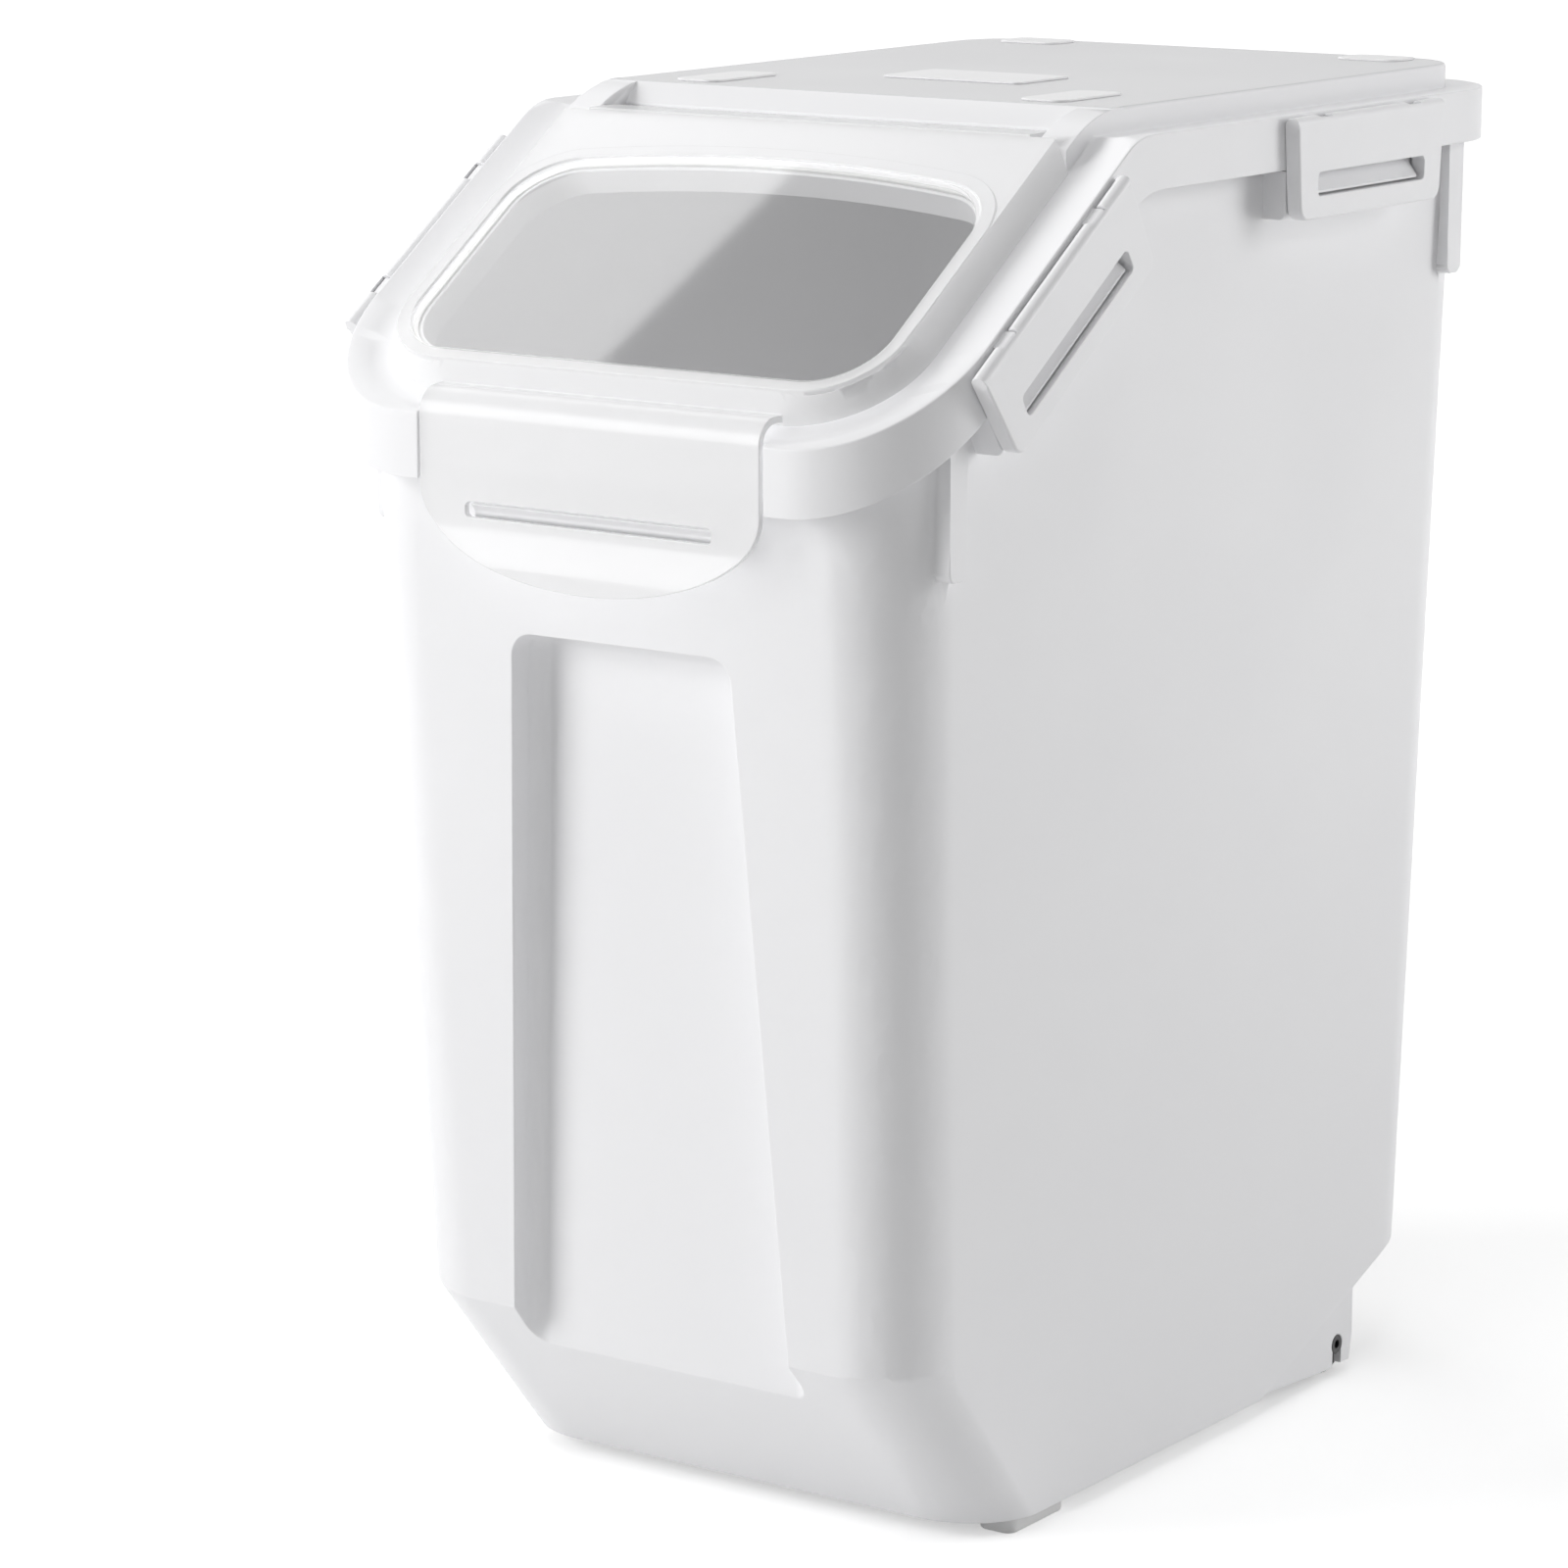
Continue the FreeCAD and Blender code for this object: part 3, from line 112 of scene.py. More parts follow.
def sum_of(tree, operation, place, *values):
    """Adds a Math node on numbers or other nodes' outputs, and gives back its own output."""
    node = new_node(tree, "ShaderNodeMath", place, operation=operation)
    for socket, value in zip(node.inputs, values):
        if isinstance(value, (int, float)):
            socket.default_value = value
        else:
            tree.links.new(value, socket)
    return node.outputs[0]


def seen_mask(tree, place):
    """One for camera, glossy and transmission rays, and zero for the rays that carry light to a surface."""
    left, up = place
    path = new_node(tree, "ShaderNodeLightPath", (left, up))
    mask = path.outputs["Is Camera Ray"]
    for step, name in enumerate(("Is Glossy Ray", "Is Transmission Ray"), start=1):
        mask = sum_of(tree, "MAXIMUM", (left + NODE_STEP * step, up), mask, path.outputs[name])
    return mask


print("helpers for node trees are ready")

# %% World
WORLD_LIGHT = 0.17

world = bpy.data.worlds.new("studio_world")
world.use_nodes = True
world_tree = world.node_tree
world_tree.nodes.clear()
ambient = new_node(world_tree, "ShaderNodeBackground", (0, 200))
ambient.inputs["Color"].default_value = (1, 1, 1, 1)
ambient.inputs["Strength"].default_value = WORLD_LIGHT
white = new_node(world_tree, "ShaderNodeBackground", (0, 0))
white.inputs["Color"].default_value = (1, 1, 1, 1)
white.inputs["Strength"].default_value = 1
world_mix = new_node(world_tree, "ShaderNodeMixShader", (250, 100))
world_out = new_node(world_tree, "ShaderNodeOutputWorld", (450, 100))
world_tree.links.new(seen_mask(world_tree, (-650, 200)), world_mix.inputs[0])
world_tree.links.new(ambient.outputs[0], world_mix.inputs[1])
world_tree.links.new(white.outputs[0], world_mix.inputs[2])
world_tree.links.new(world_mix.outputs[0], world_out.inputs["Surface"])
bpy.context.scene.world = world
print("world light", WORLD_LIGHT)

# %% [markdown]
# The floor is pale and keeps the soft shadow of the bin.
# A plain white floor would still end in a grey line at the back, so its glow, which only the camera sees,
# grows with the distance from the bin until the floor is as white as the world behind it.

# %% Floor
FLOOR_SIZE = 40
FLOOR_COLOUR = (0.92, 0.92, 0.92, 1)
FLOOR_LIFT = 0.4
FADE_START = 0.5
FADE_END = 1.4

bpy.ops.object.select_all(action="DESELECT")
bpy.ops.mesh.primitive_plane_add(size=FLOOR_SIZE, location=(0, 0, 0))
floor = bpy.context.object
floor.name = "studio_floor"
floor_material = bpy.data.materials.new("pale_floor")
floor_material.use_nodes = True
floor_tree = floor_material.node_tree
floor_tree.nodes.clear()
floor_skin = new_node(floor_tree, "ShaderNodeBsdfDiffuse", (0, 200))
floor_skin.inputs["Color"].default_value = FLOOR_COLOUR
floor_glow = new_node(floor_tree, "ShaderNodeEmission", (0, 0))
floor_place = new_node(floor_tree, "ShaderNodeTexCoord", (-850, -300))
floor_reach = new_node(floor_tree, "ShaderNodeVectorMath", (-650, -300), operation="LENGTH")
floor_fade = new_node(floor_tree, "ShaderNodeMapRange", (-450, -300), interpolation_type="SMOOTHSTEP")
floor_fade.inputs["From Min"].default_value = FADE_START
floor_fade.inputs["From Max"].default_value = FADE_END
floor_fade.inputs["To Min"].default_value = FLOOR_LIFT
floor_fade.inputs["To Max"].default_value = 1
floor_strength = new_node(floor_tree, "ShaderNodeMath", (-200, 0), operation="MULTIPLY")
floor_tree.links.new(floor_place.outputs["Object"], floor_reach.inputs[0])
floor_tree.links.new(floor_reach.outputs["Value"], floor_fade.inputs["Value"])
floor_tree.links.new(floor_fade.outputs["Result"], floor_strength.inputs[1])
floor_sum = new_node(floor_tree, "ShaderNodeAddShader", (250, 100))
floor_out = new_node(floor_tree, "ShaderNodeOutputMaterial", (450, 100))
floor_tree.links.new(seen_mask(floor_tree, (-850, 0)), floor_strength.inputs[0])
floor_tree.links.new(floor_strength.outputs[0], floor_glow.inputs["Strength"])
floor_tree.links.new(floor_skin.outputs[0], floor_sum.inputs[0])
floor_tree.links.new(floor_glow.outputs[0], floor_sum.inputs[1])
floor_tree.links.new(floor_sum.outputs[0], floor_out.inputs["Surface"])
floor.data.materials.append(floor_material)
print("floor of", FLOOR_SIZE, "m")

# %% [markdown]
# Four soft boxes light the bin.
# The key stands in front and to the left: it reaches the front wall and leaves the corner on the right grey.
# The second stands behind to the right and fills the long side.
# The third is turned so that its edge is mirrored across the clear window as a slanted line of light.
# The fourth hangs overhead and shines into the mouth.

# %% Soft boxes
BIN_MIDDLE = Vector((0, 0, 0.25))


def soft_box(name, place, size, power, upright):
    """An area lamp that faces the bin, with its height along a given direction."""
    lamp_data = bpy.data.lights.new(name, "AREA")
    lamp_data.shape = "RECTANGLE"
    lamp_data.size, lamp_data.size_y = size
    lamp_data.energy = power
    lamp = bpy.data.objects.new(name, lamp_data)
    lamp.location = place
    back = (Vector(place) - BIN_MIDDLE).normalized()
    right = Vector(upright).cross(back).normalized()
    lamp.rotation_euler = Matrix((right, back.cross(right), back)).transposed().to_euler()
    bpy.context.scene.collection.objects.link(lamp)
    print(name, "at", place, power, "W")


soft_box("key_box", place=(-1.48, -1.85, 1.0), size=(1.2, 1.6), power=38, upright=(0, 0, 1))
soft_box("side_box", place=(1.78, 1.6, 0.9), size=(1.0, 1.6), power=25, upright=(0, 0, 1))
soft_box("window_box", place=(-1.38, 0.45, 1.77), size=(0.7, 1.6), power=8, upright=(0.49, 0.84, 0.22))
soft_box("top_box", place=(0.3, -0.5, 2.5), size=(1.0, 1.0), power=12, upright=(0, 1, 0))

# %% [markdown]
# White plastic isn't quite opaque: some of the light that falls on the walls of a bin comes out inside,
# and keeps the inside of a closed bin pale. Following that light through the walls takes long to render.
# A weak round lamp in the middle of the tub, which only its walls can see, gives the same paleness.

# %% Light inside the tub
INSIDE_PLACE = (0, 0.01, 0.24)
INSIDE_RADIUS = 0.07
INSIDE_POWER = 0.085

inside_data = bpy.data.lights.new("inside_lamp", "POINT")
inside_data.energy = INSIDE_POWER
inside_data.shadow_soft_size = INSIDE_RADIUS
inside = bpy.data.objects.new("inside_lamp", inside_data)
inside.location = INSIDE_PLACE
inside.visible_camera = False
inside.visible_glossy = False
inside.visible_transmission = False
bpy.context.scene.collection.objects.link(inside)
print("lamp inside the tub", INSIDE_POWER, "W")

# %% [markdown]
# The tub, the lid and the latches are one white moulded plastic.
# Close up it isn't one colour: the skin takes a very fine grain from the mould and a faint cloudiness.
# It could be painted as an image, but a pattern worked out from the place of a point has no seams and no limit
# to its sharpness. A node group makes that skin once, and each plastic uses it with its own values.

# %% Group: sockets of the moulded skin
CLOUD_SCALE = 9


def add_socket(group, name, direction, kind, value=None):
    """Adds a named input or output to a node group."""
    socket = group.interface.new_socket(name=name, in_out=direction, socket_type=kind)
    if value is not None:
        socket.default_value = value


moulded_skin = bpy.data.node_groups.new("moulded_skin", "ShaderNodeTree")
add_socket(moulded_skin, "Colour", "INPUT", "NodeSocketColor")
add_socket(moulded_skin, "Cloud Colour", "INPUT", "NodeSocketColor")
add_socket(moulded_skin, "Cloud Scale", "INPUT", "NodeSocketFloat", CLOUD_SCALE)
add_socket(moulded_skin, "Grain Scale", "INPUT", "NodeSocketFloat")
add_socket(moulded_skin, "Smoothest", "INPUT", "NodeSocketFloat")
add_socket(moulded_skin, "Roughest", "INPUT", "NodeSocketFloat")
add_socket(moulded_skin, "Colour", "OUTPUT", "NodeSocketColor")
add_socket(moulded_skin, "Roughness", "OUTPUT", "NodeSocketFloat")
add_socket(moulded_skin, "Grain", "OUTPUT", "NodeSocketFloat")
print("group", moulded_skin.name, "with", len(moulded_skin.interface.items_tree), "sockets")

# %% Group: nodes of the moulded skin
CLOUD_LOW = 0.3
CLOUD_HIGH = 0.7

skin_in = new_node(moulded_skin, "NodeGroupInput", (-800, 0))
skin_out = new_node(moulded_skin, "NodeGroupOutput", (500, 0))
skin_place = new_node(moulded_skin, "ShaderNodeTexCoord", (-800, 300))
clouds = new_node(moulded_skin, "ShaderNodeTexNoise", (-450, 300))
clouds.inputs["Detail"].default_value = 3
cloud_mix = new_node(moulded_skin, "ShaderNodeMix", (0, 250), data_type="RGBA")
sheen = new_node(moulded_skin, "ShaderNodeMapRange", (0, -50))
sheen.inputs["From Min"].default_value = CLOUD_LOW
sheen.inputs["From Max"].default_value = CLOUD_HIGH
grain = new_node(moulded_skin, "ShaderNodeTexNoise", (-450, -250))
grain.inputs["Detail"].default_value = 2
skin_links = moulded_skin.links
skin_links.new(skin_place.outputs["Object"], clouds.inputs["Vector"])
skin_links.new(skin_place.outputs["Object"], grain.inputs["Vector"])
skin_links.new(skin_in.outputs["Cloud Scale"], clouds.inputs["Scale"])
skin_links.new(skin_in.outputs["Grain Scale"], grain.inputs["Scale"])
skin_links.new(clouds.outputs["Fac"], cloud_mix.inputs["Factor"])
skin_links.new(skin_in.outputs["Colour"], cloud_mix.inputs["A"])
skin_links.new(skin_in.outputs["Cloud Colour"], cloud_mix.inputs["B"])
skin_links.new(clouds.outputs["Fac"], sheen.inputs["Value"])
skin_links.new(skin_in.outputs["Smoothest"], sheen.inputs["To Min"])
skin_links.new(skin_in.outputs["Roughest"], sheen.inputs["To Max"])
skin_links.new(cloud_mix.outputs["Result"], skin_out.inputs["Colour"])
skin_links.new(sheen.outputs["Result"], skin_out.inputs["Roughness"])
skin_links.new(grain.outputs["Fac"], skin_out.inputs["Grain"])
print("group", moulded_skin.name, "with", len(moulded_skin.nodes), "nodes")

# %% [markdown]
# Every material on the skin is one Principled shader. They differ in colour, in how evenly they shine,
# and in the size and depth of the grain: rubber is coarse and dull, a thin plate is fine and smooth.

# %% Materials on the moulded skin
GRAIN_STRENGTH = 0.3


def moulded(name, colour, cloud, smoothest, roughest, grain_scale, grain_height):
    """A moulded material, with the skin group feeding its colour, roughness and fine bump."""
    material = bpy.data.materials.new(name)
    material.use_nodes = True
    tree = material.node_tree
    shader = tree.nodes["Principled BSDF"]
    skin = new_node(tree, "ShaderNodeGroup", (-600, 200))
    skin.node_tree = moulded_skin
    skin.inputs["Colour"].default_value = (*colour, 1)
    skin.inputs["Cloud Colour"].default_value = (*cloud, 1)
    skin.inputs["Smoothest"].default_value = smoothest
    skin.inputs["Roughest"].default_value = roughest
    skin.inputs["Grain Scale"].default_value = grain_scale
    bump = new_node(tree, "ShaderNodeBump", (-300, -200))
    bump.inputs["Strength"].default_value = GRAIN_STRENGTH
    bump.inputs["Distance"].default_value = grain_height
    tree.links.new(skin.outputs["Colour"], shader.inputs["Base Color"])
    tree.links.new(skin.outputs["Roughness"], shader.inputs["Roughness"])
    tree.links.new(skin.outputs["Grain"], bump.inputs["Height"])
    tree.links.new(bump.outputs["Normal"], shader.inputs["Normal"])
    print("material", name)
    return material


WHITE_SKIN = {
    "colour": (0.9, 0.9, 0.91), "cloud": (0.87, 0.87, 0.885),
    "smoothest": 0.36, "roughest": 0.46, "grain_scale": 1500, "grain_height": 0.00004,
}
white_plastic = moulded("white_plastic", **WHITE_SKIN)
silicone = moulded(
    "silicone", colour=(0.82, 0.82, 0.81), cloud=(0.78, 0.78, 0.77),
    smoothest=0.55, roughest=0.65, grain_scale=900, grain_height=0.00005,
)
black_plastic = moulded(
    "black_plastic", colour=(0.018, 0.018, 0.019), cloud=(0.026, 0.026, 0.027),
    smoothest=0.32, roughest=0.45, grain_scale=1200, grain_height=0.00006,
)
pad_plastic = moulded(
    "pad_plastic", colour=(0.93, 0.93, 0.935), cloud=(0.91, 0.91, 0.915),
    smoothest=0.45, roughest=0.55, grain_scale=2200, grain_height=0.00003,
)
bare_plate = moulded(
    "bare_plate", colour=(0.88, 0.88, 0.89), cloud=(0.86, 0.86, 0.87),
    smoothest=0.28, roughest=0.36, grain_scale=2600, grain_height=0.00002,
)
pale_rubber = moulded(
    "pale_rubber", colour=(0.8, 0.8, 0.8), cloud=(0.74, 0.74, 0.74),
    smoothest=0.6, roughest=0.75, grain_scale=700, grain_height=0.00008,
)

# %% [markdown]
# The field of the top panel is coloured a shade greyer than the pads on it and the rim around it, as painted
# shade for the weaker light that falls on the top.
# It could be a face with a second material, but the lid's copy is rebuilt below, and its faces change.
# The field is the only part of the lid that lies as high as the pads' underside,
# so the height alone finds it.

# %% Group: above a level
above_level = bpy.data.node_groups.new("above_level", "ShaderNodeTree")
add_socket(above_level, "Level", "INPUT", "NodeSocketFloat", 0)
add_socket(above_level, "Mask", "OUTPUT", "NodeSocketFloat")
level_in = new_node(above_level, "NodeGroupInput", (-500, -150))
level_out = new_node(above_level, "NodeGroupOutput", (300, 0))
level_place = new_node(above_level, "ShaderNodeTexCoord", (-500, 150))
level_split = new_node(above_level, "ShaderNodeSeparateXYZ", (-250, 150))
above_level.links.new(level_place.outputs["Object"], level_split.inputs[0])
level_height = level_split.outputs["Z"]
level_mask = sum_of(above_level, "GREATER_THAN", (0, 0), level_height, level_in.outputs["Level"])
above_level.links.new(level_mask, level_out.inputs["Mask"])
print("group", above_level.name)

# %% Lid plastic with painted shade on its field
# The grey of the field is painted shade, not a colour of the plastic.
FIELD_SHADE_COLOUR = (0.73, 0.73, 0.74, 1)
FIELD_SKIN = 0.0003

lid_plastic_painted_shade = moulded("lid_plastic_painted_shade", **WHITE_SKIN)
lid_tree = lid_plastic_painted_shade.node_tree
lid_shader = lid_tree.nodes["Principled BSDF"]
lid_shade_field = new_node(lid_tree, "ShaderNodeGroup", (-600, 500))
lid_shade_field.node_tree = above_level
lid_shade_field.inputs["Level"].default_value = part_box("top_pads")[0][2] - FIELD_SKIN
# This mix paints the shade onto the field, above the level of the pads' underside.
lid_shade_mix = new_node(lid_tree, "ShaderNodeMix", (-250, 400), data_type="RGBA")
lid_shade_mix.inputs["B"].default_value = FIELD_SHADE_COLOUR
lid_tree.links.new(lid_shade_field.outputs["Mask"], lid_shade_mix.inputs["Factor"])
lid_tree.links.new(lid_shader.inputs["Base Color"].links[0].from_socket, lid_shade_mix.inputs["A"])
lid_tree.links.new(lid_shade_mix.outputs["Result"], lid_shader.inputs["Base Color"])

# %% [markdown]
# The flip lid is one clear moulding, and only the window in its middle is polished.
# Its frame and its tongue come milky from the mould, and hide most of the white collar behind them.
# The window's outline is worked out on the slope: two straight sides, a straight front and a bowed top,
# with round corners. A point's distance beyond them says whether it belongs to the window or to the frame.

# %% Outline of the window
SLOPE = math.radians(33.7)
UP_SLOPE = Vector((0, math.cos(SLOPE), math.sin(SLOPE)))
SLOPE_TOP = Vector((0, -0.0613, 0.458))
FRONT_DROP = 0.135
CROWN_DROP = 0.0314
WINDOW_HALF = 0.0921
WINDOW_FRONT = SLOPE_TOP.dot(UP_SLOPE) - FRONT_DROP
WINDOW_TOP = SLOPE_TOP.dot(UP_SLOPE) - CROWN_DROP
WINDOW_CORNER = 0.0226
WINDOW_BOW = 0.4526
WINDOW_BLUR = 0.0004
print("window from", round(WINDOW_FRONT, 4), "to", round(WINDOW_TOP, 4), "m up the slope")

# %% Group: frame of the window
window_frame = bpy.data.node_groups.new("window_frame", "ShaderNodeTree")
add_socket(window_frame, "Frame", "OUTPUT", "NodeSocketFloat")
window_out = new_node(window_frame, "NodeGroupOutput", (1400, 0))
window_place = new_node(window_frame, "ShaderNodeTexCoord", (-700, 0))
window_split = new_node(window_frame, "ShaderNodeSeparateXYZ", (-500, 150))
window_up = new_node(window_frame, "ShaderNodeVectorMath", (-500, -150), operation="DOT_PRODUCT")
window_up.inputs[1].default_value = UP_SLOPE
window_frame.links.new(window_place.outputs["Object"], window_split.inputs[0])
window_frame.links.new(window_place.outputs["Object"], window_up.inputs[0])
across = sum_of(window_frame, "ABSOLUTE", (-300, 150), window_split.outputs["X"])
along = window_up.outputs["Value"]
beside = sum_of(window_frame, "SUBTRACT", (-100, 300), across, WINDOW_HALF - WINDOW_CORNER)
in_front = sum_of(window_frame, "SUBTRACT", (-100, 150), WINDOW_FRONT + WINDOW_CORNER, along)
bow_rise = sum_of(window_frame, "SUBTRACT", (-100, 0), along, WINDOW_TOP - WINDOW_BOW)
bow_square = sum_of(window_frame, "MULTIPLY", (100, 0), bow_rise, bow_rise)
bow_sum = sum_of(window_frame, "MULTIPLY_ADD", (300, 0), across, across, bow_square)
bow_reach = sum_of(window_frame, "SQRT", (500, 0), bow_sum)
behind = sum_of(window_frame, "SUBTRACT", (700, 0), bow_reach, WINDOW_BOW - WINDOW_CORNER)
ends = sum_of(window_frame, "MAXIMUM", (900, 100), in_front, behind)
beside_out = sum_of(window_frame, "MAXIMUM", (900, 300), beside, 0)
ends_out = sum_of(window_frame, "MAXIMUM", (1000, 100), ends, 0)
ends_square = sum_of(window_frame, "MULTIPLY", (1100, 100), ends_out, ends_out)
corner_sum = sum_of(window_frame, "MULTIPLY_ADD", (1150, 300), beside_out, beside_out, ends_square)
corner_reach = sum_of(window_frame, "SQRT", (1200, 150), corner_sum)
window_edge = new_node(window_frame, "ShaderNodeMapRange", (1250, 0), interpolation_type="SMOOTHSTEP")
window_edge.inputs["From Min"].default_value = WINDOW_CORNER - WINDOW_BLUR
window_edge.inputs["From Max"].default_value = WINDOW_CORNER + WINDOW_BLUR
window_frame.links.new(corner_reach, window_edge.inputs["Value"])
window_frame.links.new(window_edge.outputs["Result"], window_out.inputs["Frame"])
print("group", window_frame.name, "with", len(window_frame.nodes), "nodes")

# %% [markdown]
# A thin clear wall could be made of glass, but a glass shader bends the light at each face
# and keeps the lamps out.
# Here the veil is what the plastic hides: little in the window, and most of it in the milky frame.
# The window also mirrors the room, more so when it is seen at a low angle, and lets the lamps shine through.

# %% Clear plastic: veil and milk
WINDOW_VEIL = 0.07
FRAME_MILK = 0.8
FRAME_SHINE = 0.3

clear_plastic = moulded(
    "clear_plastic", colour=(0.88, 0.88, 0.885), cloud=(0.86, 0.86, 0.87),
    smoothest=0.2, roughest=0.26, grain_scale=900, grain_height=0.00001,
)
clear_tree = clear_plastic.node_tree
clear_shader = clear_tree.nodes["Principled BSDF"]
clear_tree.nodes.remove(clear_tree.nodes["Bump"])
clear_shader.inputs["Specular IOR Level"].default_value = FRAME_SHINE
clear_mask = new_node(clear_tree, "ShaderNodeGroup", (-600, -500))
clear_mask.node_tree = window_frame
clear_milk = new_node(clear_tree, "ShaderNodeMapRange", (-300, -500))
clear_milk.inputs["To Min"].default_value = WINDOW_VEIL
clear_milk.inputs["To Max"].default_value = FRAME_MILK
clear_tree.links.new(clear_mask.outputs["Frame"], clear_milk.inputs["Value"])
clear_tree.links.new(clear_milk.outputs["Result"], clear_shader.inputs["Alpha"])
print("the window hides", WINDOW_VEIL, "and its frame", FRAME_MILK)

# %% Clear plastic: polish of the window
GLOSS_FACING = 0.04
GRAZING_POWER = 4
POLISH = 0.03

clear_gloss = new_node(clear_tree, "ShaderNodeBsdfGlossy", (100, -300))
clear_gloss.inputs["Roughness"].default_value = POLISH
clear_facing = new_node(clear_tree, "ShaderNodeLayerWeight", (-300, 650))
clear_grazing = sum_of(clear_tree, "POWER", (-100, 650), clear_facing.outputs["Facing"], GRAZING_POWER)
clear_rim = sum_of(clear_tree, "MULTIPLY_ADD", (100, 650), clear_grazing, 1 - GLOSS_FACING, GLOSS_FACING)
clear_polish = sum_of(clear_tree, "SUBTRACT", (-100, 850), 1, clear_mask.outputs["Frame"])
clear_shine = sum_of(clear_tree, "MULTIPLY", (250, 750), clear_rim, clear_polish)
clear_mix = new_node(clear_tree, "ShaderNodeMixShader", (400, 300))
clear_tree.links.new(clear_shine, clear_mix.inputs[0])
clear_tree.links.new(clear_shader.outputs[0], clear_mix.inputs[1])
clear_tree.links.new(clear_gloss.outputs[0], clear_mix.inputs[2])
print("the window mirrors", GLOSS_FACING, "when it is faced")

# %% Clear plastic: light of the lamps
PASSED_LIGHT = (0.9, 0.9, 0.9, 1)

clear_path = new_node(clear_tree, "ShaderNodeLightPath", (400, 650))
clear_through = new_node(clear_tree, "ShaderNodeBsdfTransparent", (400, 50))
clear_through.inputs["Color"].default_value = PASSED_LIGHT
clear_lamps = new_node(clear_tree, "ShaderNodeMixShader", (650, 300))
clear_out = clear_tree.nodes["Material Output"]
clear_out.location = (900, 300)
clear_tree.links.new(clear_path.outputs["Is Shadow Ray"], clear_lamps.inputs[0])
clear_tree.links.new(clear_mix.outputs[0], clear_lamps.inputs[1])
clear_tree.links.new(clear_through.outputs[0], clear_lamps.inputs[2])
clear_tree.links.new(clear_lamps.outputs[0], clear_out.inputs["Surface"])
print("lamps pass the clear plastic by", PASSED_LIGHT[0])

# %% [markdown]
# The pins of the latches and of the flip lid are drawn steel wire.
# The same skin serves with a metal shader, since a drawn wire is also a little uneven in its shine.

# %% Steel wire
steel_wire = moulded(
    "steel_wire", colour=(0.6, 0.6, 0.61), cloud=(0.54, 0.54, 0.55),
    smoothest=0.25, roughest=0.35, grain_scale=1800, grain_height=0.00002,
)
steel_wire.node_tree.nodes["Principled BSDF"].inputs["Metallic"].default_value = 1

# %% [markdown]
# The imported record says which material each piece is made of, so the finishes are given out by that list.
# Only the main lid gets its own, with painted shade on the field of its top panel.

# %% Give each piece its finish
FINISHES = {
    "white_plastic": white_plastic,
    "clear_plastic": clear_plastic,
    "silicone": silicone,
    "black_plastic": black_plastic,
    "steel": steel_wire,
    "pad": pad_plastic,
    "plate": bare_plate,
    "rubber": pale_rubber,
}
for row in frame["record"]["subparts"]:
    piece = nodes[row["node"]]
    piece.data.materials.clear()
    piece.data.materials.append(FINISHES[row["material_slot"]])
    print(row["node"], "is", row["material_slot"])
nodes["lid_frame"].data.materials[0] = lid_plastic_painted_shade

# %% [markdown]
# A mould leaves no knife edges: every corner of a plastic piece has a small round, and that line of light
# is what makes it look like plastic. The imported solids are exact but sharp, so each one is copied,
# its triangles are merged into clean faces, and a bevel rounds the edges that are sharper than an angle.
# The copy stands for the solid, which stays hidden and keeps its place in the frame.

# %% Copy a solid and find its sharp edges
SHARP_ANGLE = math.radians(32)
FLAT_ANGLE = math.radians(0.1)
MERGE_GAP = 0.000002


def merged_copy(node):
    """A copy of a node, its loose triangles joined into clean faces."""
    piece = bpy.data.objects.new(f"{node}_round", nodes[node].data.copy())
    bpy.context.scene.collection.objects.link(piece)
    bpy.ops.object.select_all(action="DESELECT")
    piece.select_set(True)
    bpy.context.view_layer.objects.active = piece
    bpy.ops.object.mode_set(mode="EDIT")
    bpy.ops.mesh.select_all(action="SELECT")
    bpy.ops.mesh.remove_doubles(threshold=MERGE_GAP)
    bpy.ops.mesh.dissolve_limited(angle_limit=FLAT_ANGLE)
    bpy.ops.object.mode_set(mode="OBJECT")
    return piece


def sharp_edges(mesh):
    """The ends of each edge whose two faces meet at more than the sharp angle."""
    work = bmesh.new()
    work.from_mesh(mesh)
    edges = {edge.index: (edge.verts[0].co.copy(), edge.verts[1].co.copy())
             for edge in work.edges if edge.is_manifold and edge.calc_face_angle() > SHARP_ANGLE}
    work.free()
    return edges


print("edges over", round(math.degrees(SHARP_ANGLE)), "degrees are sharp")

# %% Bevel the edges and even out the normals
ROUND_SEGMENTS = 3


def bevel_edges(piece, edges, radius):
    """Rounds the given edges of a piece by a bevel."""
    weights = piece.data.attributes.new("bevel_weight_edge", "FLOAT", "EDGE")
    for index in edges:
        weights.data[index].value = 1
    bevel = piece.modifiers.new("round_edges", "BEVEL")
    bevel.limit_method = "WEIGHT"
    bevel.width = radius
    bevel.segments = ROUND_SEGMENTS
    bevel.use_clamp_overlap = False
    bpy.ops.object.modifier_apply(modifier=bevel.name)


def even_normals(piece):
    """Smooths a piece over its small rounds, while its large faces keep their own normals."""
    bpy.ops.object.shade_smooth_by_angle(angle=SHARP_ANGLE)
    weighted = piece.modifiers.new("even_normals", "WEIGHTED_NORMAL")
    weighted.mode = "FACE_AREA"
    weighted.keep_sharp = True
    bpy.ops.object.modifier_apply(modifier=weighted.name)


print("a round has", ROUND_SEGMENTS, "segments")

# %% [markdown]
# A bevel can go wrong where edges are very short or steps very narrow: its corners then shoot past each other.
# Such a place is found by setting the bevelled copy against its solid. A point or a triangle that lies farther
# off than a true round could, or a small triangle that is folded over, is a stray.
# The edges near a stray are left sharp, and the bevel is made again from a fresh copy.

# %% Find where a bevel strays
STRAY_SHARE = 0.6
FOLD_AREA = 0.0001


def solid_of(node):
    """A search tree of a node's faces."""
    return BVHTree.FromPolygons([point.co for point in nodes[node].data.vertices],
                                [tuple(face.vertices) for face in nodes[node].data.polygons])


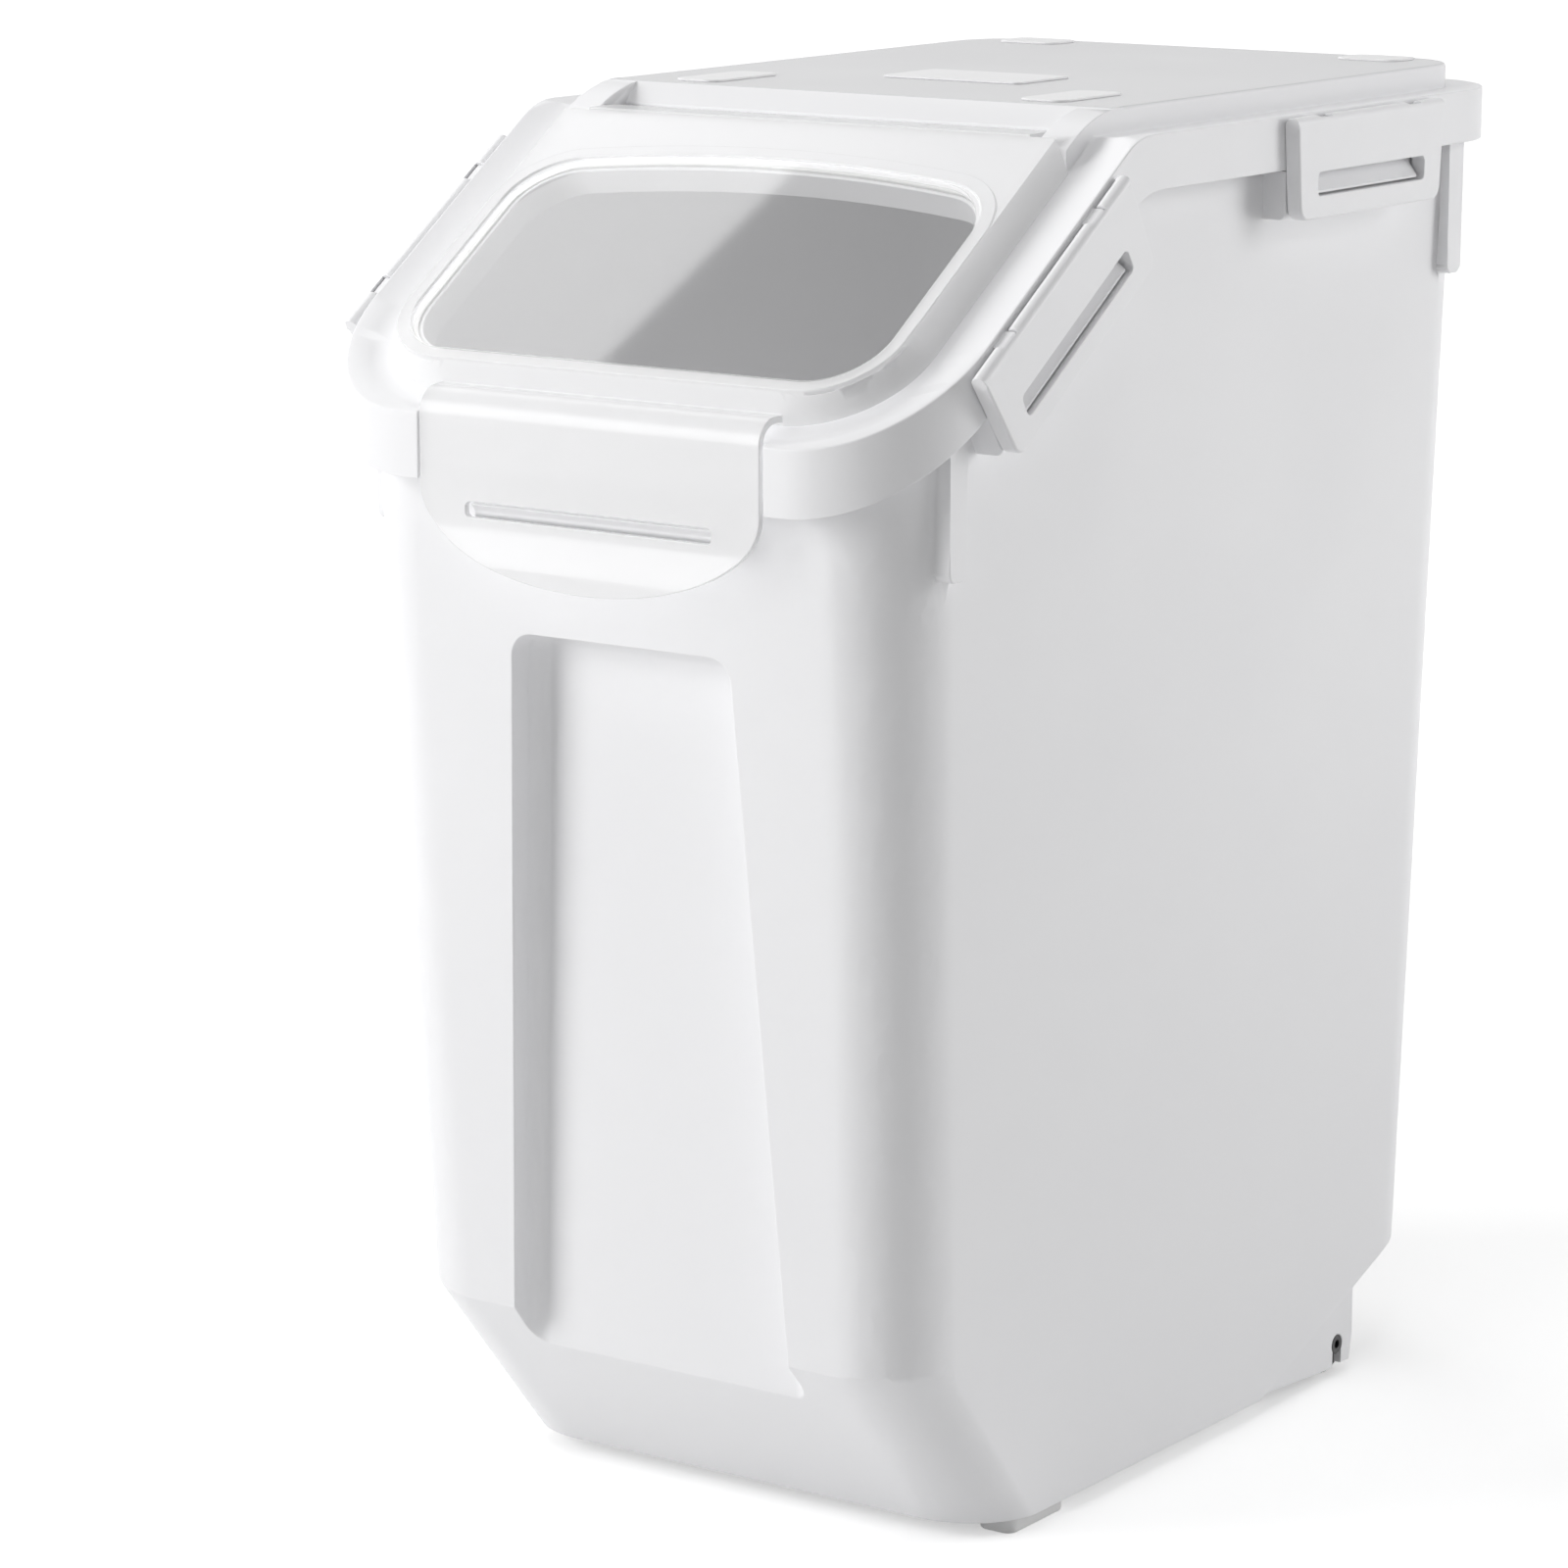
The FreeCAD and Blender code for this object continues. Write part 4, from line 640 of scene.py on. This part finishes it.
def far_points(piece, solid, radius):
    """The points of a bevelled piece that lie too far from its solid, each with its foot on the solid."""
    found = []
    for point in piece.data.vertices:
        foot, _, _, gap = solid.find_nearest(point.co)
        if gap > STRAY_SHARE * radius:
            found.append((point, foot))
    return found


def stray_corners(piece, solid, radius):
    """The corners of a bevelled piece's triangles that leave its solid or look into it."""
    found = []
    mesh = piece.data
    mesh.calc_loop_triangles()
    for triangle in mesh.loop_triangles:
        corners = [mesh.vertices[index].co.copy() for index in triangle.vertices]
        _, facing, _, gap = solid.find_nearest(sum(corners, Vector()) / 3)
        folded = triangle.area < FOLD_AREA and facing.dot(triangle.normal) < 0
        if folded or gap > STRAY_SHARE * radius:
            found += corners
    return found


print("a stray lies more than", STRAY_SHARE, "of the radius off")

# %% Find the edges near a stray
def search_of(places):
    """A search tree of points."""
    tree = KDTree(len(places))
    for index, place in enumerate(places):
        tree.insert(place, index)
    tree.balance()
    return tree


def near(ends, tree, reach):
    """Whether any point of a search tree is within reach of an edge."""
    start, end = ends
    steps = math.ceil((end - start).length / reach)
    return any(tree.find(start.lerp(end, step / steps))[2] < reach for step in range(steps + 1))


# %% Round one piece
ROUND_TURNS = 4
STRAY_REACH = 2


def rounded(node, radius):
    """A copy of a node with rounded edges, which stands for it and rides with its body."""
    solid = solid_of(node)
    piece = merged_copy(node)
    edges = sharp_edges(piece.data)
    bevel_edges(piece, edges, radius)
    for _ in range(ROUND_TURNS):
        stray = stray_corners(piece, solid, radius)
        for point, foot in far_points(piece, solid, radius):
            stray += [point.co.copy(), foot]
        if not stray:
            break
        tree = search_of(stray)
        edges = {index: ends for index, ends in edges.items() if not near(ends, tree, STRAY_REACH * radius)}
        bpy.data.objects.remove(piece)
        piece = merged_copy(node)
        bevel_edges(piece, edges, radius)
    # What still strays after the last turn is set back on the solid.
    for point, foot in far_points(piece, solid, radius):
        point.co = foot
    even_normals(piece)
    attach(piece, nodes[node]["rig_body"])
    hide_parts(node)
    print(piece.name, "has", len(edges), "rounded edges and", len(piece.data.polygons), "faces")


# %% Round the edges of every piece that shows
WALL_ROUND = 0.0005
CLIP_ROUND = 0.0004
FOOT_ROUND = 0.0008
FINE_ROUND = 0.0003

rounds = {"lid_frame": WALL_ROUND, "bin_body": WALL_ROUND, "flip_lid": CLIP_ROUND}
for side in ("left", "right"):
    rounds[f"rear_latch_{side}"] = CLIP_ROUND
    rounds[f"slope_latch_{side}"] = CLIP_ROUND
    rounds[f"front_foot_{side}"] = FOOT_ROUND
    rounds[f"wheel_{side}"] = FINE_ROUND
rounds["top_pads"] = FINE_ROUND
rounds["label_plate"] = FINE_ROUND
for node, radius in rounds.items():
    rounded(node, radius)
